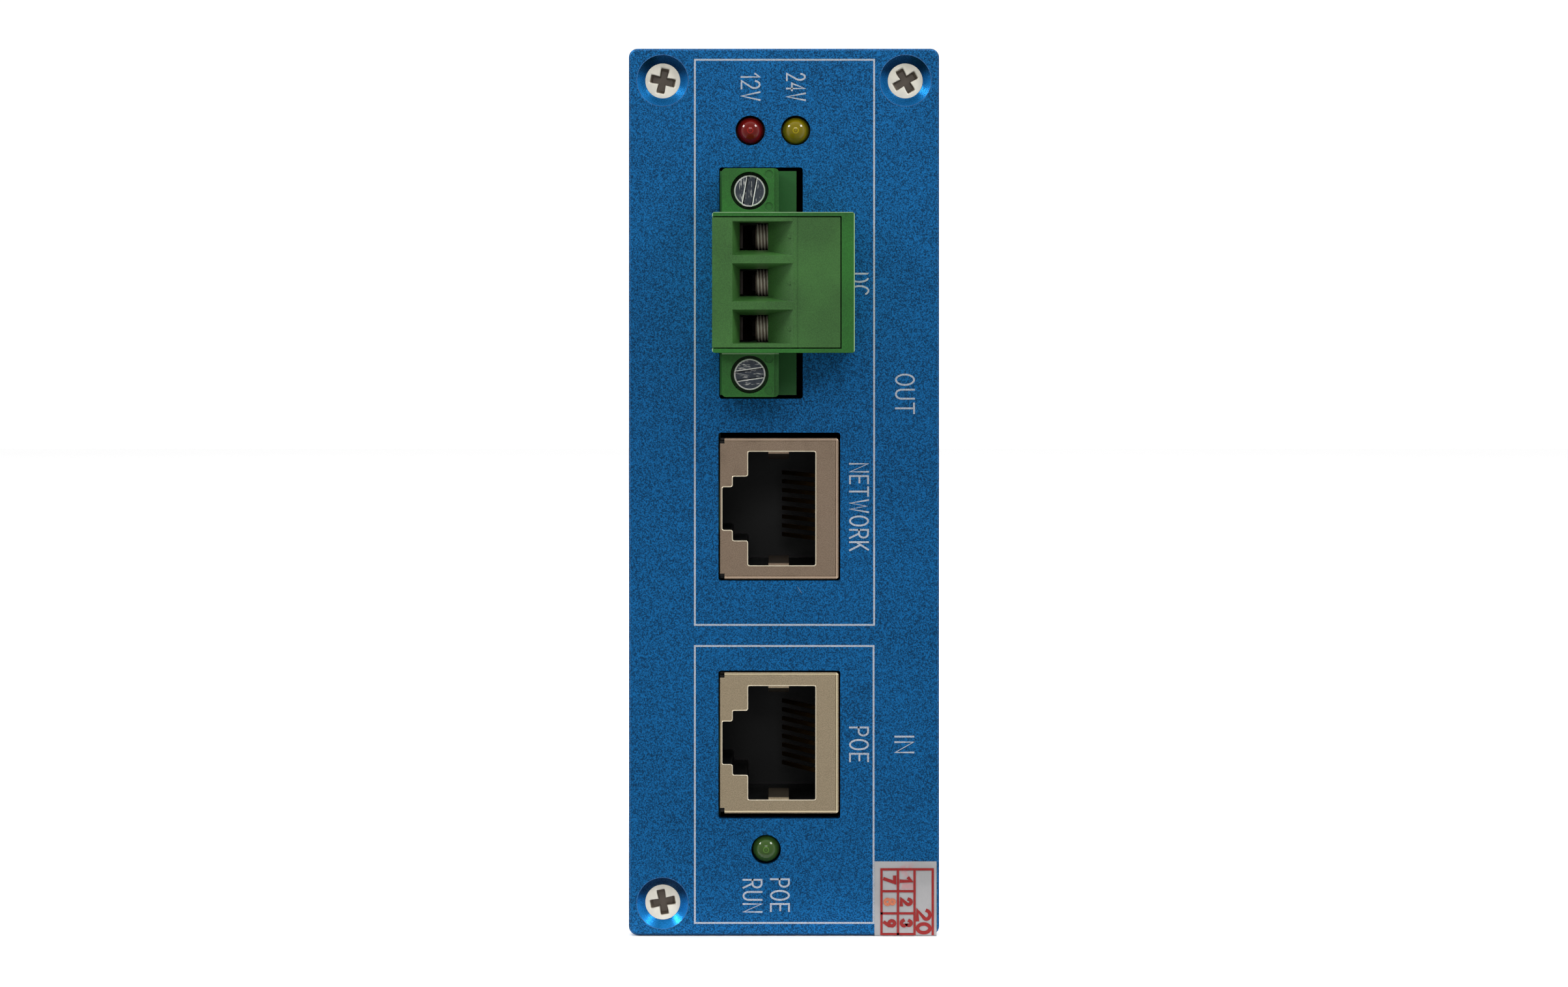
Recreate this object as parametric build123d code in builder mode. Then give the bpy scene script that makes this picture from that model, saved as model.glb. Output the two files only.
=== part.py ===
from build123d import *
import math
import os

os.makedirs("parts", exist_ok=True)

# Splitter module for a 35 mm top-hat rail. Millimetres, +Z up. The origin is the middle of the
# face that seats on the rail. X runs along the rail, and -Y points out through the front panel.

# Panels
panel_width = 35.0
panel_height = 100.0
panel_thickness = 2.0
panel_corner_radius = 1.0
panel_edge_break = 0.2
panel_overhang = 0.2

# Extruded case
case_length = 89.0
case_wall = 1.5
case_rise = 6.0
groove_count = 11
groove_pitch = 7.0
groove_width = 1.2
groove_depth = 0.4
screw_channel = 5.2
guide_depth = 1.4
guide_width = 1.0

# Corner screws of both panels
screw_side_inset = 3.8
screw_end_inset = 3.6
screw_shank = 2.3
screw_head = 3.95
screw_sunk = 0.85
screw_length = 9.0
screw_play = 0.12
cross_width = 0.5
cross_length = 2.0
cross_depth = 0.7
front_screw_turns = (-12, 30, 10, 0)
rear_screw_turns = (20, -35, 5, 40)

# Circuit board, upright on the left
board_face = -7.2
board_thickness = 1.6
board_play = 0.1
board_edge_play = 0.4
board_end_gap = 0.5

# Network jacks
jack_width = 15.87
jack_height = 13.35
jack_depth = 21.0
jack_sheet = 0.25
jack_play = 0.05
jack_bend = 0.35
jack_seam = 0.08
jack_seam_depth = 0.12
jack_notch_width = 0.5
jack_notch_length = 0.6
jack_notch_depth = 1.0
network_jack_inset = 51.88
poe_jack_inset = 21.7
mouth_low = 3.1
mouth_high = 10.79
mouth_width = 12.92
step_low = 1.37
step_width = 7.32
latch_low = 0.2
latch_width = 4.91
mouth_corner = 0.25
mouth_depth = 14.0
housing_back_wall = 1.0
tab_width = 2.3
tab_off_centre = -0.35
tab_reach = 1.0
tab_length = 5.5
contact_count = 8
contact_pitch = 1.02
contact_width = 0.45
contact_thickness = 0.3
contact_pocket_start = 1.8
contact_pocket_height = 1.5
contact_bend = 2.5
contact_tip_height = 7.1
contact_tip_depth = 11.2
contact_leg_gap = 0.3
jack_cutout_width = 16.7
jack_cutout_play = 0.2
network_cutout_shift = 0.22
poe_cutout_shift = -0.2
cutout_radius = 0.3
peg_width = 1.0
peg_depth = 8.0
peg_length = 2.6

# Terminal header on the board
terminal_inset = 26.45
pole_count = 3
pole_pitch = 5.08
flange_pitch = 20.32
header_length = 25.24
header_height = 8.6
header_depth = 12.0
header_wall = 1.0
header_cavity_depth = 8.5
header_cavity_length = 15.5
header_end_play = 0.43
header_top_play = 0.72
header_board_play = 0.1
pin_size = 1.0
pin_play = 0.1
pin_recess = 1.5
pin_back = 2.5
pin_below_board = 1.6
insert_diameter = 3.6
insert_length = 5.0
flange_axis = 3.4

# Terminal plug, pushed into the header and held by its two flange screws
plug_standoff = 0.2
plug_projection = 11.0
plug_length = 15.45
plug_low = -7.9
plug_high = 7.77
plug_corner = 0.3
plug_neck_play = 0.15
plug_neck_depth = 7.8
cover_thickness = 2.6
cover_edge = 0.45
cover_top_rim = 1.45
cover_gap = 0.12
cover_line = 1.41
cover_step = 0.06
funnel_low = -5.67
funnel_high = 1.0
funnel_width = 4.2
funnel_reach = 6.72
wire_hole_low = -4.88
wire_hole_high = -1.77
wire_hole_width = 3.0
pip_across = 0.62
pip_diameter = 0.5
pip_sunk = 0.2
pip_height = 1.0
chamber_low = -5.9
chamber_high = 1.6
chamber_width = 4.4
chamber_back = 1.6
cage_width = 4.0
cage_length = 4.0
cage_low = -5.6
cage_high = 1.2
cage_floor = 0.6
cage_side = 0.5
cage_roof = 1.8
cage_setback = 0.8
clamp_screw = 3.0
clamp_screw_tip = -3.15
clamp_head = 3.8
clamp_head_low = 4.2
clamp_head_height = 1.6
clamp_slot = 0.7
clamp_play = 0.1
contact_leaf = 0.3
contact_leaf_width = 1.8
contact_leaf_gap = 0.65
current_bar = 0.4
current_bar_width = 2.6
contact_bore_height = 2.6
contact_bore_width = 2.8
ear_length = 25.3
ear_low = -6.87
ear_high = -0.58
ear_projection = 8.0
ear_corner = 0.45
ear_step = 0.5
ear_step_width = 0.5
ejector_mark = 0.95
ejector_depth = 0.08
ejector_inset = 1.08
ejector_ups = (8.4, 11.97)
flange_head = 3.5
flange_head_height = 2.0
flange_head_sunk = 0.5
flange_head_play = 0.35
flange_shank = 2.4
flange_shank_reach = 4.5
flange_slot = 0.9
flange_slot_depth = 0.7
flange_screw_turns = (10, 82)

# Indicator lights
led_diameter = 3.0
led_hole = 3.35
led_stand = 0.25
led_body = 3.6
led_flange = 3.8
led_flange_thickness = 1.0
led_lead = 0.5
led_lead_pitch = 2.54
lead_run = 2.5
outer_lead_run = 5.5
upper_led_inset = 9.23
red_led_across = -3.8
yellow_led_across = 1.32
lower_led_inset = 9.65
green_led_across = -2.02

# Paper label, folded under the front panel
label_thickness = 0.1
label_side_inset = 0.3
label_width = 7.0
label_rise = 8.33
label_wrap = 8.6

# Rail clip
clip_thickness = 6.0
clip_width = 25.0
clip_top = 21.0
clip_bottom = 28.0
clip_corner = 1.5
rail_height = 35.0
rail_flange = 1.0
rail_edge_play = 0.2
rail_flange_play = 0.3
lip_thickness = 2.1
lip_overlap = 2.2
lip_lead = 0.8
seat_relief = 0.4
seat_relief_play = 0.1
slider_width = 11.6
slider_thickness = 3.0
slider_play = 0.2
slider_top = -3.0
slider_bottom = -29.0
channel_headroom = 2.0
nose_width = 10.0
nose_height = 2.5
latch_travel = 3.5
tail_width = 8.0
tail_thickness = 2.0
tail_bottom = -42.0
tail_slot_length = 4.0
tail_slot_height = 1.5
tail_slot_margin = 2.0
spring_diameter = 3.0
spring_wire = 0.4
spring_length = 9.0
spring_turns = 6
spring_seat = -4.6
spring_window = 3.6
spring_lug_height = 1.6
spring_lug_width = 3.0
clip_screw_across = 9.2
clip_screw_upper = 11.0
clip_screw_lower = -24.0
clip_screw_shank = 2.9
clip_screw_head = 5.2
clip_screw_sunk = 0.2
clip_screw_length = 7.8

# Parts on the board: how far each stands behind the front, its size, and its place beside others
leg_width = 0.5
leg_reach = 1.0
leg_thickness = 0.25
package_draft = 4.0
magnetics_behind = 30.0
magnetics_width = 16.0
magnetics_length = 12.0
magnetics_height = 6.0
magnetics_legs = 8
rectifier_behind = 44.0
rectifier_width = 6.4
rectifier_length = 8.2
rectifier_height = 3.3
rectifier_legs = 2
rectifier_pitch = 14.0
controller_behind = 56.0
controller_width = 4.0
controller_length = 5.0
controller_height = 1.6
controller_legs = 4
controller_pitch = 12.0
power_width = 6.2
power_length = 6.6
power_height = 2.4
power_legs = 3
transistor_behind = 68.0
diode_behind = 40.0
optocoupler_behind = 46.0
optocoupler_width = 6.4
optocoupler_length = 4.6
optocoupler_height = 3.6
optocoupler_legs = 2
optocoupler_drop = 13.5
can_diameter = 10.0
can_height = 16.0
can_bead = 0.4
can_groove = 0.35
can_groove_up = 1.8
input_can_behind = 77.0
input_can_rise = 3.0
output_can_behind = 44.0
output_can_pitch = 14.0
output_can_rise = 14.45
transformer_behind = 62.0
core_length = 20.0
core_width = 10.0
core_height = 14.0
core_limb = 3.0
core_lift = 2.0
bobbin_flange = 1.0
bobbin_wall = 0.8
bobbin_play = 0.2
winding_gap = 0.4
choke_behind = 56.0
choke_diameter = 12.0
choke_height = 8.0
choke_flange = 1.5
choke_waist = 0.8
disc_gap = 6.0
disc_diameter = 8.0
disc_thickness = 4.0
disc_round = 1.2
disc_lift = 2.0
disc_lead = 0.6
disc_lead_pitch = 5.0
disc_lead_bite = 2.6

# Stations, as distances in front of the rail seat, and edges that follow from the sizes above
case_back = clip_thickness + panel_thickness
case_front = case_back + case_length
front = case_front + panel_thickness
case_width = panel_width - 2 * panel_overhang
case_height = panel_height - 2 * panel_overhang
screw_across = panel_width / 2 - screw_side_inset
screw_up = panel_height / 2 - screw_end_inset
board_back_face = board_face - board_thickness
header_axis = board_face + header_height / 2
upper_led_up = panel_height / 2 - upper_led_inset
lower_led_up = lower_led_inset - panel_height / 2
terminal_up = panel_height / 2 - terminal_inset
network_jack_up = panel_height / 2 - network_jack_inset
poe_jack_up = poe_jack_inset - panel_height / 2
plug_seat = front + plug_standoff
plug_face = front + plug_projection
cover_seat = plug_face - cover_thickness
chamber_floor = plug_seat + chamber_back
cage_front = cover_seat - cage_setback
clamp_axis = cage_front - cage_length / 2
pole_ups = [terminal_up + (i - (pole_count - 1) / 2) * pole_pitch for i in range(pole_count)]
flange_ups = [terminal_up + flange_pitch / 2, terminal_up - flange_pitch / 2]
flange_across = board_face + flange_axis
jacks = (
    ("network", network_jack_up, network_cutout_shift),
    ("poe", poe_jack_up, poe_cutout_shift),
)
leds = (
    ("red", red_led_across, upper_led_up, lead_run),
    ("yellow", yellow_led_across, upper_led_up, outer_lead_run),
    ("green", green_led_across, lower_led_up, lead_run),
)


def upright(distance):
    """Plane this far in front of the rail seat, facing forward and centred on the case."""
    return Plane(origin=(0, -distance, case_rise), x_dir=(1, 0, 0), z_dir=(0, -1, 0))


def level(up):
    """Level plane this far above the middle of the case, in x and y."""
    return Plane(origin=(0, 0, case_rise + up), x_dir=(1, 0, 0), z_dir=(0, 0, 1))


def side(across):
    """Plane across the rail direction, with y and height above the rail centre in it."""
    return Plane(origin=(across, 0, 0), x_dir=(0, 1, 0), z_dir=(1, 0, 0))


def on_board(height=0.0):
    """Plane above the board's component side. In it, x is height up the case and y is forward."""
    return Plane(origin=(board_face + height, 0, case_rise), x_dir=(0, 0, 1), z_dir=(1, 0, 0))


def block(x_range, y_range, mode=Mode.ADD):
    """Rectangle between two limits each way, in the sketch that is open."""
    with Locations(((x_range[0] + x_range[1]) / 2, (y_range[0] + y_range[1]) / 2)):
        Rectangle(abs(x_range[1] - x_range[0]), abs(y_range[1] - y_range[0]), mode=mode)


def strip(points, thickness):
    """Outline of a folded strip about a middle line of points, with mitred corners."""
    line = [Vector(*p) for p in points]
    runs = [(b - a).normalized() for a, b in zip(line, line[1:])]
    sides = [Vector(-r.Y, r.X) for r in runs]
    offsets = [sides[0]]
    for a, b in zip(sides, sides[1:]):
        offsets.append((a + b) / (1 + a.dot(b)))
    offsets.append(sides[-1])
    left = [p + o * (thickness / 2) for p, o in zip(line, offsets)]
    right = [p - o * (thickness / 2) for p, o in zip(line, offsets)]
    return [(v.X, v.Y) for v in left + right[::-1]]


def keep(part, name):
    """Labels a finished piece and writes it."""
    part.label = name
    export_step(part, f"parts/{name}.step")


# Front and rear panels: plates with countersunk corner holes
countersink = screw_head + 2 * screw_sunk + screw_play
corner_hole = screw_shank + 2 * screw_play

with BuildPart() as front_panel:
    with BuildSketch(upright(case_front)):
        RectangleRounded(panel_width, panel_height, panel_corner_radius)
        with Locations(*[(across, up) for _, across, up, _ in leds]):
            Circle(led_hole / 2, mode=Mode.SUBTRACT)
        header_cut = (board_face - header_board_play, board_face + header_height + header_top_play)
        header_cut_length = header_length + 2 * header_end_play
        with Locations(((header_cut[0] + header_cut[1]) / 2, terminal_up)):
            RectangleRounded(
                header_cut[1] - header_cut[0], header_cut_length, cutout_radius, mode=Mode.SUBTRACT
            )
        jack_cut_height = jack_height + 2 * jack_cutout_play
        for name, up, shift in jacks:
            with Locations((board_face + jack_height / 2, up + shift)):
                RectangleRounded(
                    jack_cut_height, jack_cutout_width, cutout_radius, mode=Mode.SUBTRACT
                )
    extrude(amount=panel_thickness)
    face = front_panel.faces().sort_by(Axis.Y)[0]
    chamfer(face.outer_wire().edges(), panel_edge_break)
    with Locations(upright(front)):
        with GridLocations(2 * screw_across, 2 * screw_up, 2, 2):
            CounterSinkHole(corner_hole / 2, countersink / 2, counter_sink_angle=90)
keep(front_panel.part, "front_panel")

clip_hole_ups = (clip_screw_upper, clip_screw_lower)
clip_holes = [(x * clip_screw_across, up - case_rise) for x in (-1, 1) for up in clip_hole_ups]
rear_outward = Plane(origin=(0, -clip_thickness, case_rise), x_dir=(-1, 0, 0), z_dir=(0, 1, 0))

with BuildPart() as rear_panel:
    with BuildSketch(upright(clip_thickness)):
        RectangleRounded(panel_width, panel_height, panel_corner_radius)
        with Locations(*clip_holes):
            Circle(clip_screw_shank / 2 + screw_play, mode=Mode.SUBTRACT)
    extrude(amount=panel_thickness)
    face = rear_panel.faces().sort_by(Axis.Y)[-1]
    chamfer(face.outer_wire().edges(), panel_edge_break)
    with Locations(rear_outward):
        with GridLocations(2 * screw_across, 2 * screw_up, 2, 2):
            CounterSinkHole(corner_hole / 2, countersink / 2, counter_sink_angle=90)
keep(rear_panel.part, "rear_panel")

# Case: an extruded tube with side grooves, card guides and a screw channel in each corner
inside_half_width = case_width / 2 - case_wall
inside_half_height = case_height / 2 - case_wall
guide_slot = (board_back_face - board_play, board_face + board_play)

with BuildPart() as case_extrusion:
    with BuildSketch(upright(case_back)):
        RectangleRounded(case_width, case_height, panel_corner_radius)
        Rectangle(2 * inside_half_width, 2 * inside_half_height, mode=Mode.SUBTRACT)
        with GridLocations(2 * screw_across, 2 * screw_up, 2, 2):
            Circle(screw_channel / 2)
        for end in (-1, 1):
            guide = (end * inside_half_height, end * (inside_half_height - guide_depth))
            block((guide_slot[0] - guide_width, guide_slot[0]), guide)
            block((guide_slot[1], guide_slot[1] + guide_width), guide)
        with GridLocations(case_width - groove_depth, groove_pitch, 2, groove_count):
            Rectangle(groove_depth, groove_width, mode=Mode.SUBTRACT)
        with GridLocations(2 * screw_across, 2 * screw_up, 2, 2):
            Circle(screw_shank / 2 + screw_play, mode=Mode.SUBTRACT)
    extrude(amount=case_length)
keep(case_extrusion.part, "case_extrusion")


def cross_screws(plane, spots, turns, head, shank, length, sunk):
    """Countersunk cross-head screws as one group, with heads sunk below the plane."""
    with BuildPart() as screws:
        for (across, up), turn in zip(spots, turns):
            at = plane.location * Location((across, up, 0), (0, 0, turn))
            top = Plane(at)
            with BuildSketch(top.offset(-sunk)):
                Circle(head / 2)
            extrude(amount=-(head - shank) / 2, taper=45)
            with BuildSketch(top.offset(-sunk)):
                Circle(shank / 2)
            extrude(amount=-length)
            with BuildSketch(top.offset(-sunk)):
                Rectangle(cross_length, cross_width)
                Rectangle(cross_width, cross_length)
            extrude(amount=-cross_depth, taper=8, mode=Mode.SUBTRACT)
    return screws.part


corner_spots = [(x * screw_across, y * screw_up) for y in (1, -1) for x in (-1, 1)]
keep(
    cross_screws(
        upright(front), corner_spots, front_screw_turns, screw_head, screw_shank,
        screw_length, screw_sunk,
    ),
    "front_screws",
)
keep(
    cross_screws(
        rear_outward, corner_spots, rear_screw_turns, screw_head, screw_shank,
        screw_length, screw_sunk,
    ),
    "rear_screws",
)

# Paper label: one strip down the front, round the lower edge and back under the case
label_up = case_rise - panel_height / 2
label_line = [
    (-front - label_thickness / 2, label_up + label_rise),
    (-front - label_thickness / 2, label_up - label_thickness / 2),
    (-front + label_wrap, label_up - label_thickness / 2),
]
label_left = panel_width / 2 - label_side_inset - label_width

with BuildPart() as date_label:
    with BuildSketch(side(label_left)):
        Polygon(*strip(label_line, label_thickness), align=None)
    extrude(amount=label_width)
keep(date_label.part, "date_label")

# Rail clip: base plate with the fixed upper hook, and a channel for the sprung latch
rail_half = rail_height / 2
hook_inner = rail_half + rail_edge_play
lip_inner = rail_flange + rail_flange_play
lip_outer = lip_inner + lip_thickness
channel_depth = slider_thickness + 2 * slider_play
channel_floor = -clip_thickness + channel_depth
channel_half = slider_width / 2 + slider_play
channel_top = slider_top + channel_headroom
nose_top = -hook_inner
nose_bottom = nose_top - nose_height
window_top = nose_top + slider_play
window_bottom = nose_bottom - latch_travel - slider_play
spring_axis = -clip_thickness + slider_play + slider_thickness / 2
spring_foot = spring_seat - spring_length
spring_window_bottom = spring_foot - spring_lug_height - slider_play
seat_end = hook_inner - lip_overlap - seat_relief_play

with BuildPart() as clip_base:
    with BuildSketch(side(-clip_width / 2)):
        with BuildLine():
            Polyline(
                (-clip_thickness, -clip_bottom),
                (0, -clip_bottom),
                (0, -hook_inner),
                (-seat_relief, -hook_inner),
                (-seat_relief, -seat_end),
                (0, -seat_end),
                (0, seat_end),
                (-seat_relief, seat_end),
                (-seat_relief, hook_inner),
                (lip_inner, hook_inner),
                (lip_inner, hook_inner - lip_overlap + lip_lead),
                (lip_inner + lip_lead, hook_inner - lip_overlap),
                (lip_outer, hook_inner - lip_overlap),
                (lip_outer, clip_top - clip_corner),
                (lip_outer - clip_corner, clip_top),
                (-clip_thickness, clip_top),
                close=True,
            )
        make_face()
    extrude(amount=clip_width)
    corners = clip_base.edges().filter_by(Axis.Y).group_by(Axis.Z)[0]
    fillet(corners, clip_corner)
    with BuildSketch(upright(clip_thickness)):
        block((-channel_half, channel_half), (-clip_bottom - case_rise, channel_top - case_rise))
    extrude(amount=-channel_depth, mode=Mode.SUBTRACT)
    with BuildSketch(upright(0)):
        window_half = nose_width / 2 + slider_play
        block(
            (-window_half, window_half), (window_bottom - case_rise, window_top - case_rise)
        )
    extrude(amount=clip_thickness, mode=Mode.SUBTRACT)
    with BuildSketch(upright(-channel_floor)):
        block(
            (-spring_lug_width / 2, spring_lug_width / 2),
            (spring_foot - spring_lug_height - case_rise, spring_foot - case_rise),
        )
    extrude(amount=slider_thickness)
    with Locations(Plane(origin=(0, 0, case_rise), x_dir=(1, 0, 0), z_dir=(0, 1, 0))):
        with Locations(*[(x, -up) for x, up in clip_holes]):
            CounterSinkHole(
                clip_screw_shank / 2 + screw_play,
                clip_screw_head / 2 + clip_screw_sunk + screw_play,
                counter_sink_angle=90,
            )
keep(clip_base.part, "clip_base")

with BuildPart() as clip_latch:
    slider_face = -clip_thickness + slider_play
    slider_back = slider_face + slider_thickness
    with BuildSketch(side(-slider_width / 2)):
        block((slider_face, slider_back), (slider_bottom, slider_top))
    extrude(amount=slider_width)
    with BuildSketch(side(-nose_width / 2)):
        with BuildLine():
            Polyline(
                (slider_face, nose_bottom),
                (lip_outer - lip_lead, nose_bottom),
                (lip_outer, nose_bottom + lip_lead),
                (lip_outer, nose_top + lip_overlap - lip_lead),
                (lip_outer - lip_lead, nose_top + lip_overlap),
                (lip_inner, nose_top + lip_overlap),
                (lip_inner, nose_top),
                (slider_face, nose_top),
                close=True,
            )
        make_face()
    extrude(amount=nose_width)
    with BuildSketch(side(-tail_width / 2)):
        block((slider_face, slider_face + tail_thickness), (tail_bottom, slider_bottom))
    extrude(amount=tail_width)
    with BuildSketch(upright(-slider_face)):
        block(
            (-spring_window / 2, spring_window / 2),
            (spring_window_bottom - case_rise, spring_seat - case_rise),
        )
        tail_slot_foot = tail_bottom + tail_slot_margin - case_rise
        block(
            (-tail_slot_length / 2, tail_slot_length / 2),
            (tail_slot_foot, tail_slot_foot + tail_slot_height),
        )
    extrude(amount=-slider_thickness, mode=Mode.SUBTRACT)
keep(clip_latch.part, "clip_latch")

with BuildPart() as clip_spring:
    with BuildLine() as coil:
        coil_rise = spring_length - spring_wire
        Helix(
            pitch=coil_rise / spring_turns,
            height=coil_rise,
            radius=(spring_diameter - spring_wire) / 2,
            center=(0, spring_axis, spring_foot + spring_wire / 2),
        )
    with BuildSketch(Plane(coil.line ^ 0)):
        RegularPolygon(spring_wire / 2, 8)
    sweep(path=coil.line, is_frenet=True)
keep(clip_spring.part, "clip_spring")

clip_seat = Plane(origin=(0, 0, case_rise), x_dir=(1, 0, 0), z_dir=(0, 1, 0))
keep(
    cross_screws(
        clip_seat, [(x, -up) for x, up in clip_holes], (0, 25, -10, 40), clip_screw_head,
        clip_screw_shank, clip_screw_length, clip_screw_sunk,
    ),
    "clip_screws",
)


# Shielded jacks: a folded shield, the insulator in it and eight spring contacts
def mouth_outline(grow=0.0, latch_to=latch_low):
    """Stepped outline of the jack's mouth, widest where the plug's body goes in."""
    top = board_face + mouth_high + grow
    block((board_face + mouth_low - grow, top), (-mouth_width / 2 - grow, mouth_width / 2 + grow))
    block((board_face + step_low - grow, top), (-step_width / 2 - grow, step_width / 2 + grow))
    block((board_face + latch_to, top), (-latch_width / 2 - grow, latch_width / 2 + grow))
    fillet(vertices(), mouth_corner)


def jack_plane(behind, up):
    """Plane behind the panel's front face, centred on a jack."""
    return Plane(origin=(0, -front + behind, case_rise + up), x_dir=(1, 0, 0), z_dir=(0, -1, 0))


for name, up, shift in jacks:
    shield_top = board_face + jack_height
    inner_half = jack_width / 2 - jack_sheet
    tab_middle = board_face + (mouth_low + mouth_high) / 2 + tab_off_centre
    with BuildPart() as shield:
        with BuildSketch(jack_plane(jack_depth, up)):
            block((board_face, shield_top), (-jack_width / 2, jack_width / 2))
            fillet(vertices().sort_by(Axis.X)[-2:], jack_bend)
        extrude(amount=jack_depth)
        with BuildSketch(jack_plane(jack_depth - jack_sheet, up)):
            block((board_face, shield_top - jack_sheet), (-inner_half, inner_half))
        extrude(amount=jack_depth - 2 * jack_sheet, mode=Mode.SUBTRACT)
        with BuildSketch(jack_plane(jack_sheet, up)):
            mouth_outline()
        extrude(amount=jack_sheet, mode=Mode.SUBTRACT)
        with BuildSketch(jack_plane(jack_seam_depth, up)):
            seam_top = shield_top - jack_sheet
            seam_half = inner_half - jack_seam
            block((board_face, seam_top), (-inner_half, inner_half))
            block((board_face, seam_top - jack_seam), (-seam_half, seam_half), Mode.SUBTRACT)
        extrude(amount=jack_seam_depth, mode=Mode.SUBTRACT)
        with BuildSketch(jack_plane(jack_notch_depth, up)):
            for end in (-1, 1):
                notch = (end * (jack_width / 2 - jack_notch_length), end * jack_width / 2)
                block((board_face, board_face + jack_notch_width), notch)
        extrude(amount=jack_notch_depth, mode=Mode.SUBTRACT)
        for end in (-1, 1):
            edge = case_rise + up + end * mouth_width / 2
            bend = edge - end * tab_reach
            sheet = end * jack_sheet
            with BuildSketch(side(tab_middle - tab_width / 2)):
                Polygon(
                    (-front, edge),
                    (-front + jack_sheet, edge),
                    (-front + tab_length / 2, bend + sheet),
                    (-front + tab_length, edge - sheet / 2),
                    (-front + tab_length, edge - 3 * sheet / 2),
                    (-front + tab_length / 2, bend),
                    (-front, edge - sheet),
                    align=None,
                )
            extrude(amount=tab_width)
            with BuildSketch(jack_plane(peg_depth + peg_width / 2, up)):
                block(
                    (board_face - peg_length, board_face),
                    (end * inner_half, end * jack_width / 2),
                )
            extrude(amount=peg_width)
    keep(shield.part, f"{name}_jack_shield")

    with BuildPart() as housing:
        housing_front = jack_sheet + jack_play
        housing_back = housing_front + mouth_depth + housing_back_wall
        pocket_floor = board_face + mouth_high + contact_pocket_height
        with BuildSketch(jack_plane(housing_back, up)):
            block(
                (board_face, shield_top - jack_sheet - jack_play),
                (-inner_half + jack_play, inner_half - jack_play),
            )
        extrude(amount=housing_back - housing_front)
        with BuildSketch(jack_plane(housing_front + mouth_depth, up)):
            mouth_outline(jack_play, latch_to=-mouth_corner)
        extrude(amount=mouth_depth, mode=Mode.SUBTRACT)
        with BuildSketch(jack_plane(housing_back, up)):
            pocket_half = contact_count * contact_pitch / 2 + jack_play
            block((board_face + mouth_high, pocket_floor), (-pocket_half, pocket_half))
        extrude(amount=housing_back - contact_pocket_start, mode=Mode.SUBTRACT)
    keep(housing.part, f"{name}_jack_housing")

    with BuildPart() as contacts:
        run = pocket_floor - contact_thickness - jack_play
        leg = -front + housing_back + contact_leg_gap
        hairpin = [
            (board_face, leg),
            (run, leg),
            (run, -front + contact_bend),
            (run - 2 * contact_thickness, -front + contact_bend),
            (board_face + contact_tip_height, -front + contact_tip_depth),
        ]
        first = up - (contact_count - 1) / 2 * contact_pitch - contact_width / 2
        for i in range(contact_count):
            with BuildSketch(level(first + i * contact_pitch)):
                Polygon(*strip(hairpin, contact_thickness), align=None)
            extrude(amount=contact_width)
    keep(contacts.part, f"{name}_jack_contacts")

# Terminal header: a box with a cavity for the plug's neck, three pins and two brass inserts
header_back = front - header_depth
cavity_floor = front - header_cavity_depth
header_x = (board_face, board_face + header_height)
header_cavity_x = (header_x[0] + header_wall, header_x[1] - header_wall)

with BuildPart() as terminal_header:
    with BuildSketch(upright(header_back)):
        block(header_x, (terminal_up - header_length / 2, terminal_up + header_length / 2))
    extrude(amount=header_depth)
    with BuildSketch(upright(cavity_floor)):
        block(
            header_cavity_x,
            (terminal_up - header_cavity_length / 2, terminal_up + header_cavity_length / 2),
        )
    extrude(amount=header_cavity_depth, mode=Mode.SUBTRACT)
    with BuildSketch(upright(header_back)):
        with Locations(*[(header_axis, up) for up in pole_ups]):
            Rectangle(pin_size + 2 * pin_play, pin_size + 2 * pin_play)
    extrude(amount=header_depth, mode=Mode.SUBTRACT)
    with BuildSketch(upright(header_back)):
        with Locations(*[(flange_across, up) for up in flange_ups]):
            Circle(flange_shank / 2 + 2 * pin_play)
    extrude(amount=header_depth, mode=Mode.SUBTRACT)
    with BuildSketch(upright(front - insert_length)):
        with Locations(*[(flange_across, up) for up in flange_ups]):
            Circle(insert_diameter / 2 + pin_play / 2)
    extrude(amount=insert_length, mode=Mode.SUBTRACT)
keep(terminal_header.part, "terminal_header")

with BuildPart() as header_pins:
    pin_path = [
        (header_axis, -front + pin_recess),
        (header_axis, -header_back + pin_back),
        (board_back_face - pin_below_board, -header_back + pin_back),
    ]
    for up in pole_ups:
        with BuildSketch(level(up - pin_size / 2)):
            Polygon(*strip(pin_path, pin_size), align=None)
        extrude(amount=pin_size)
keep(header_pins.part, "header_pins")

with BuildPart() as header_inserts:
    with BuildSketch(upright(front - insert_length)):
        with Locations(*[(flange_across, up) for up in flange_ups]):
            Circle(insert_diameter / 2)
            Circle(flange_shank / 2 + pin_play, mode=Mode.SUBTRACT)
    extrude(amount=insert_length)
keep(header_inserts.part, "header_inserts")

# Terminal plug: housing with ears and neck, snap-in front cover, and the clamps inside
neck_x = (header_cavity_x[0] + plug_neck_play, header_cavity_x[1] - plug_neck_play)
neck_half = header_cavity_length / 2 - plug_neck_play
ear_face = front + ear_projection
cover_x = (plug_low, plug_high - cover_top_rim - cover_gap)
cover_half = plug_length / 2 - cover_edge - cover_gap


def about_plug(half):
    """Limits of this half length about the middle of the terminal, up the case."""
    return (terminal_up - half, terminal_up + half)


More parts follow.
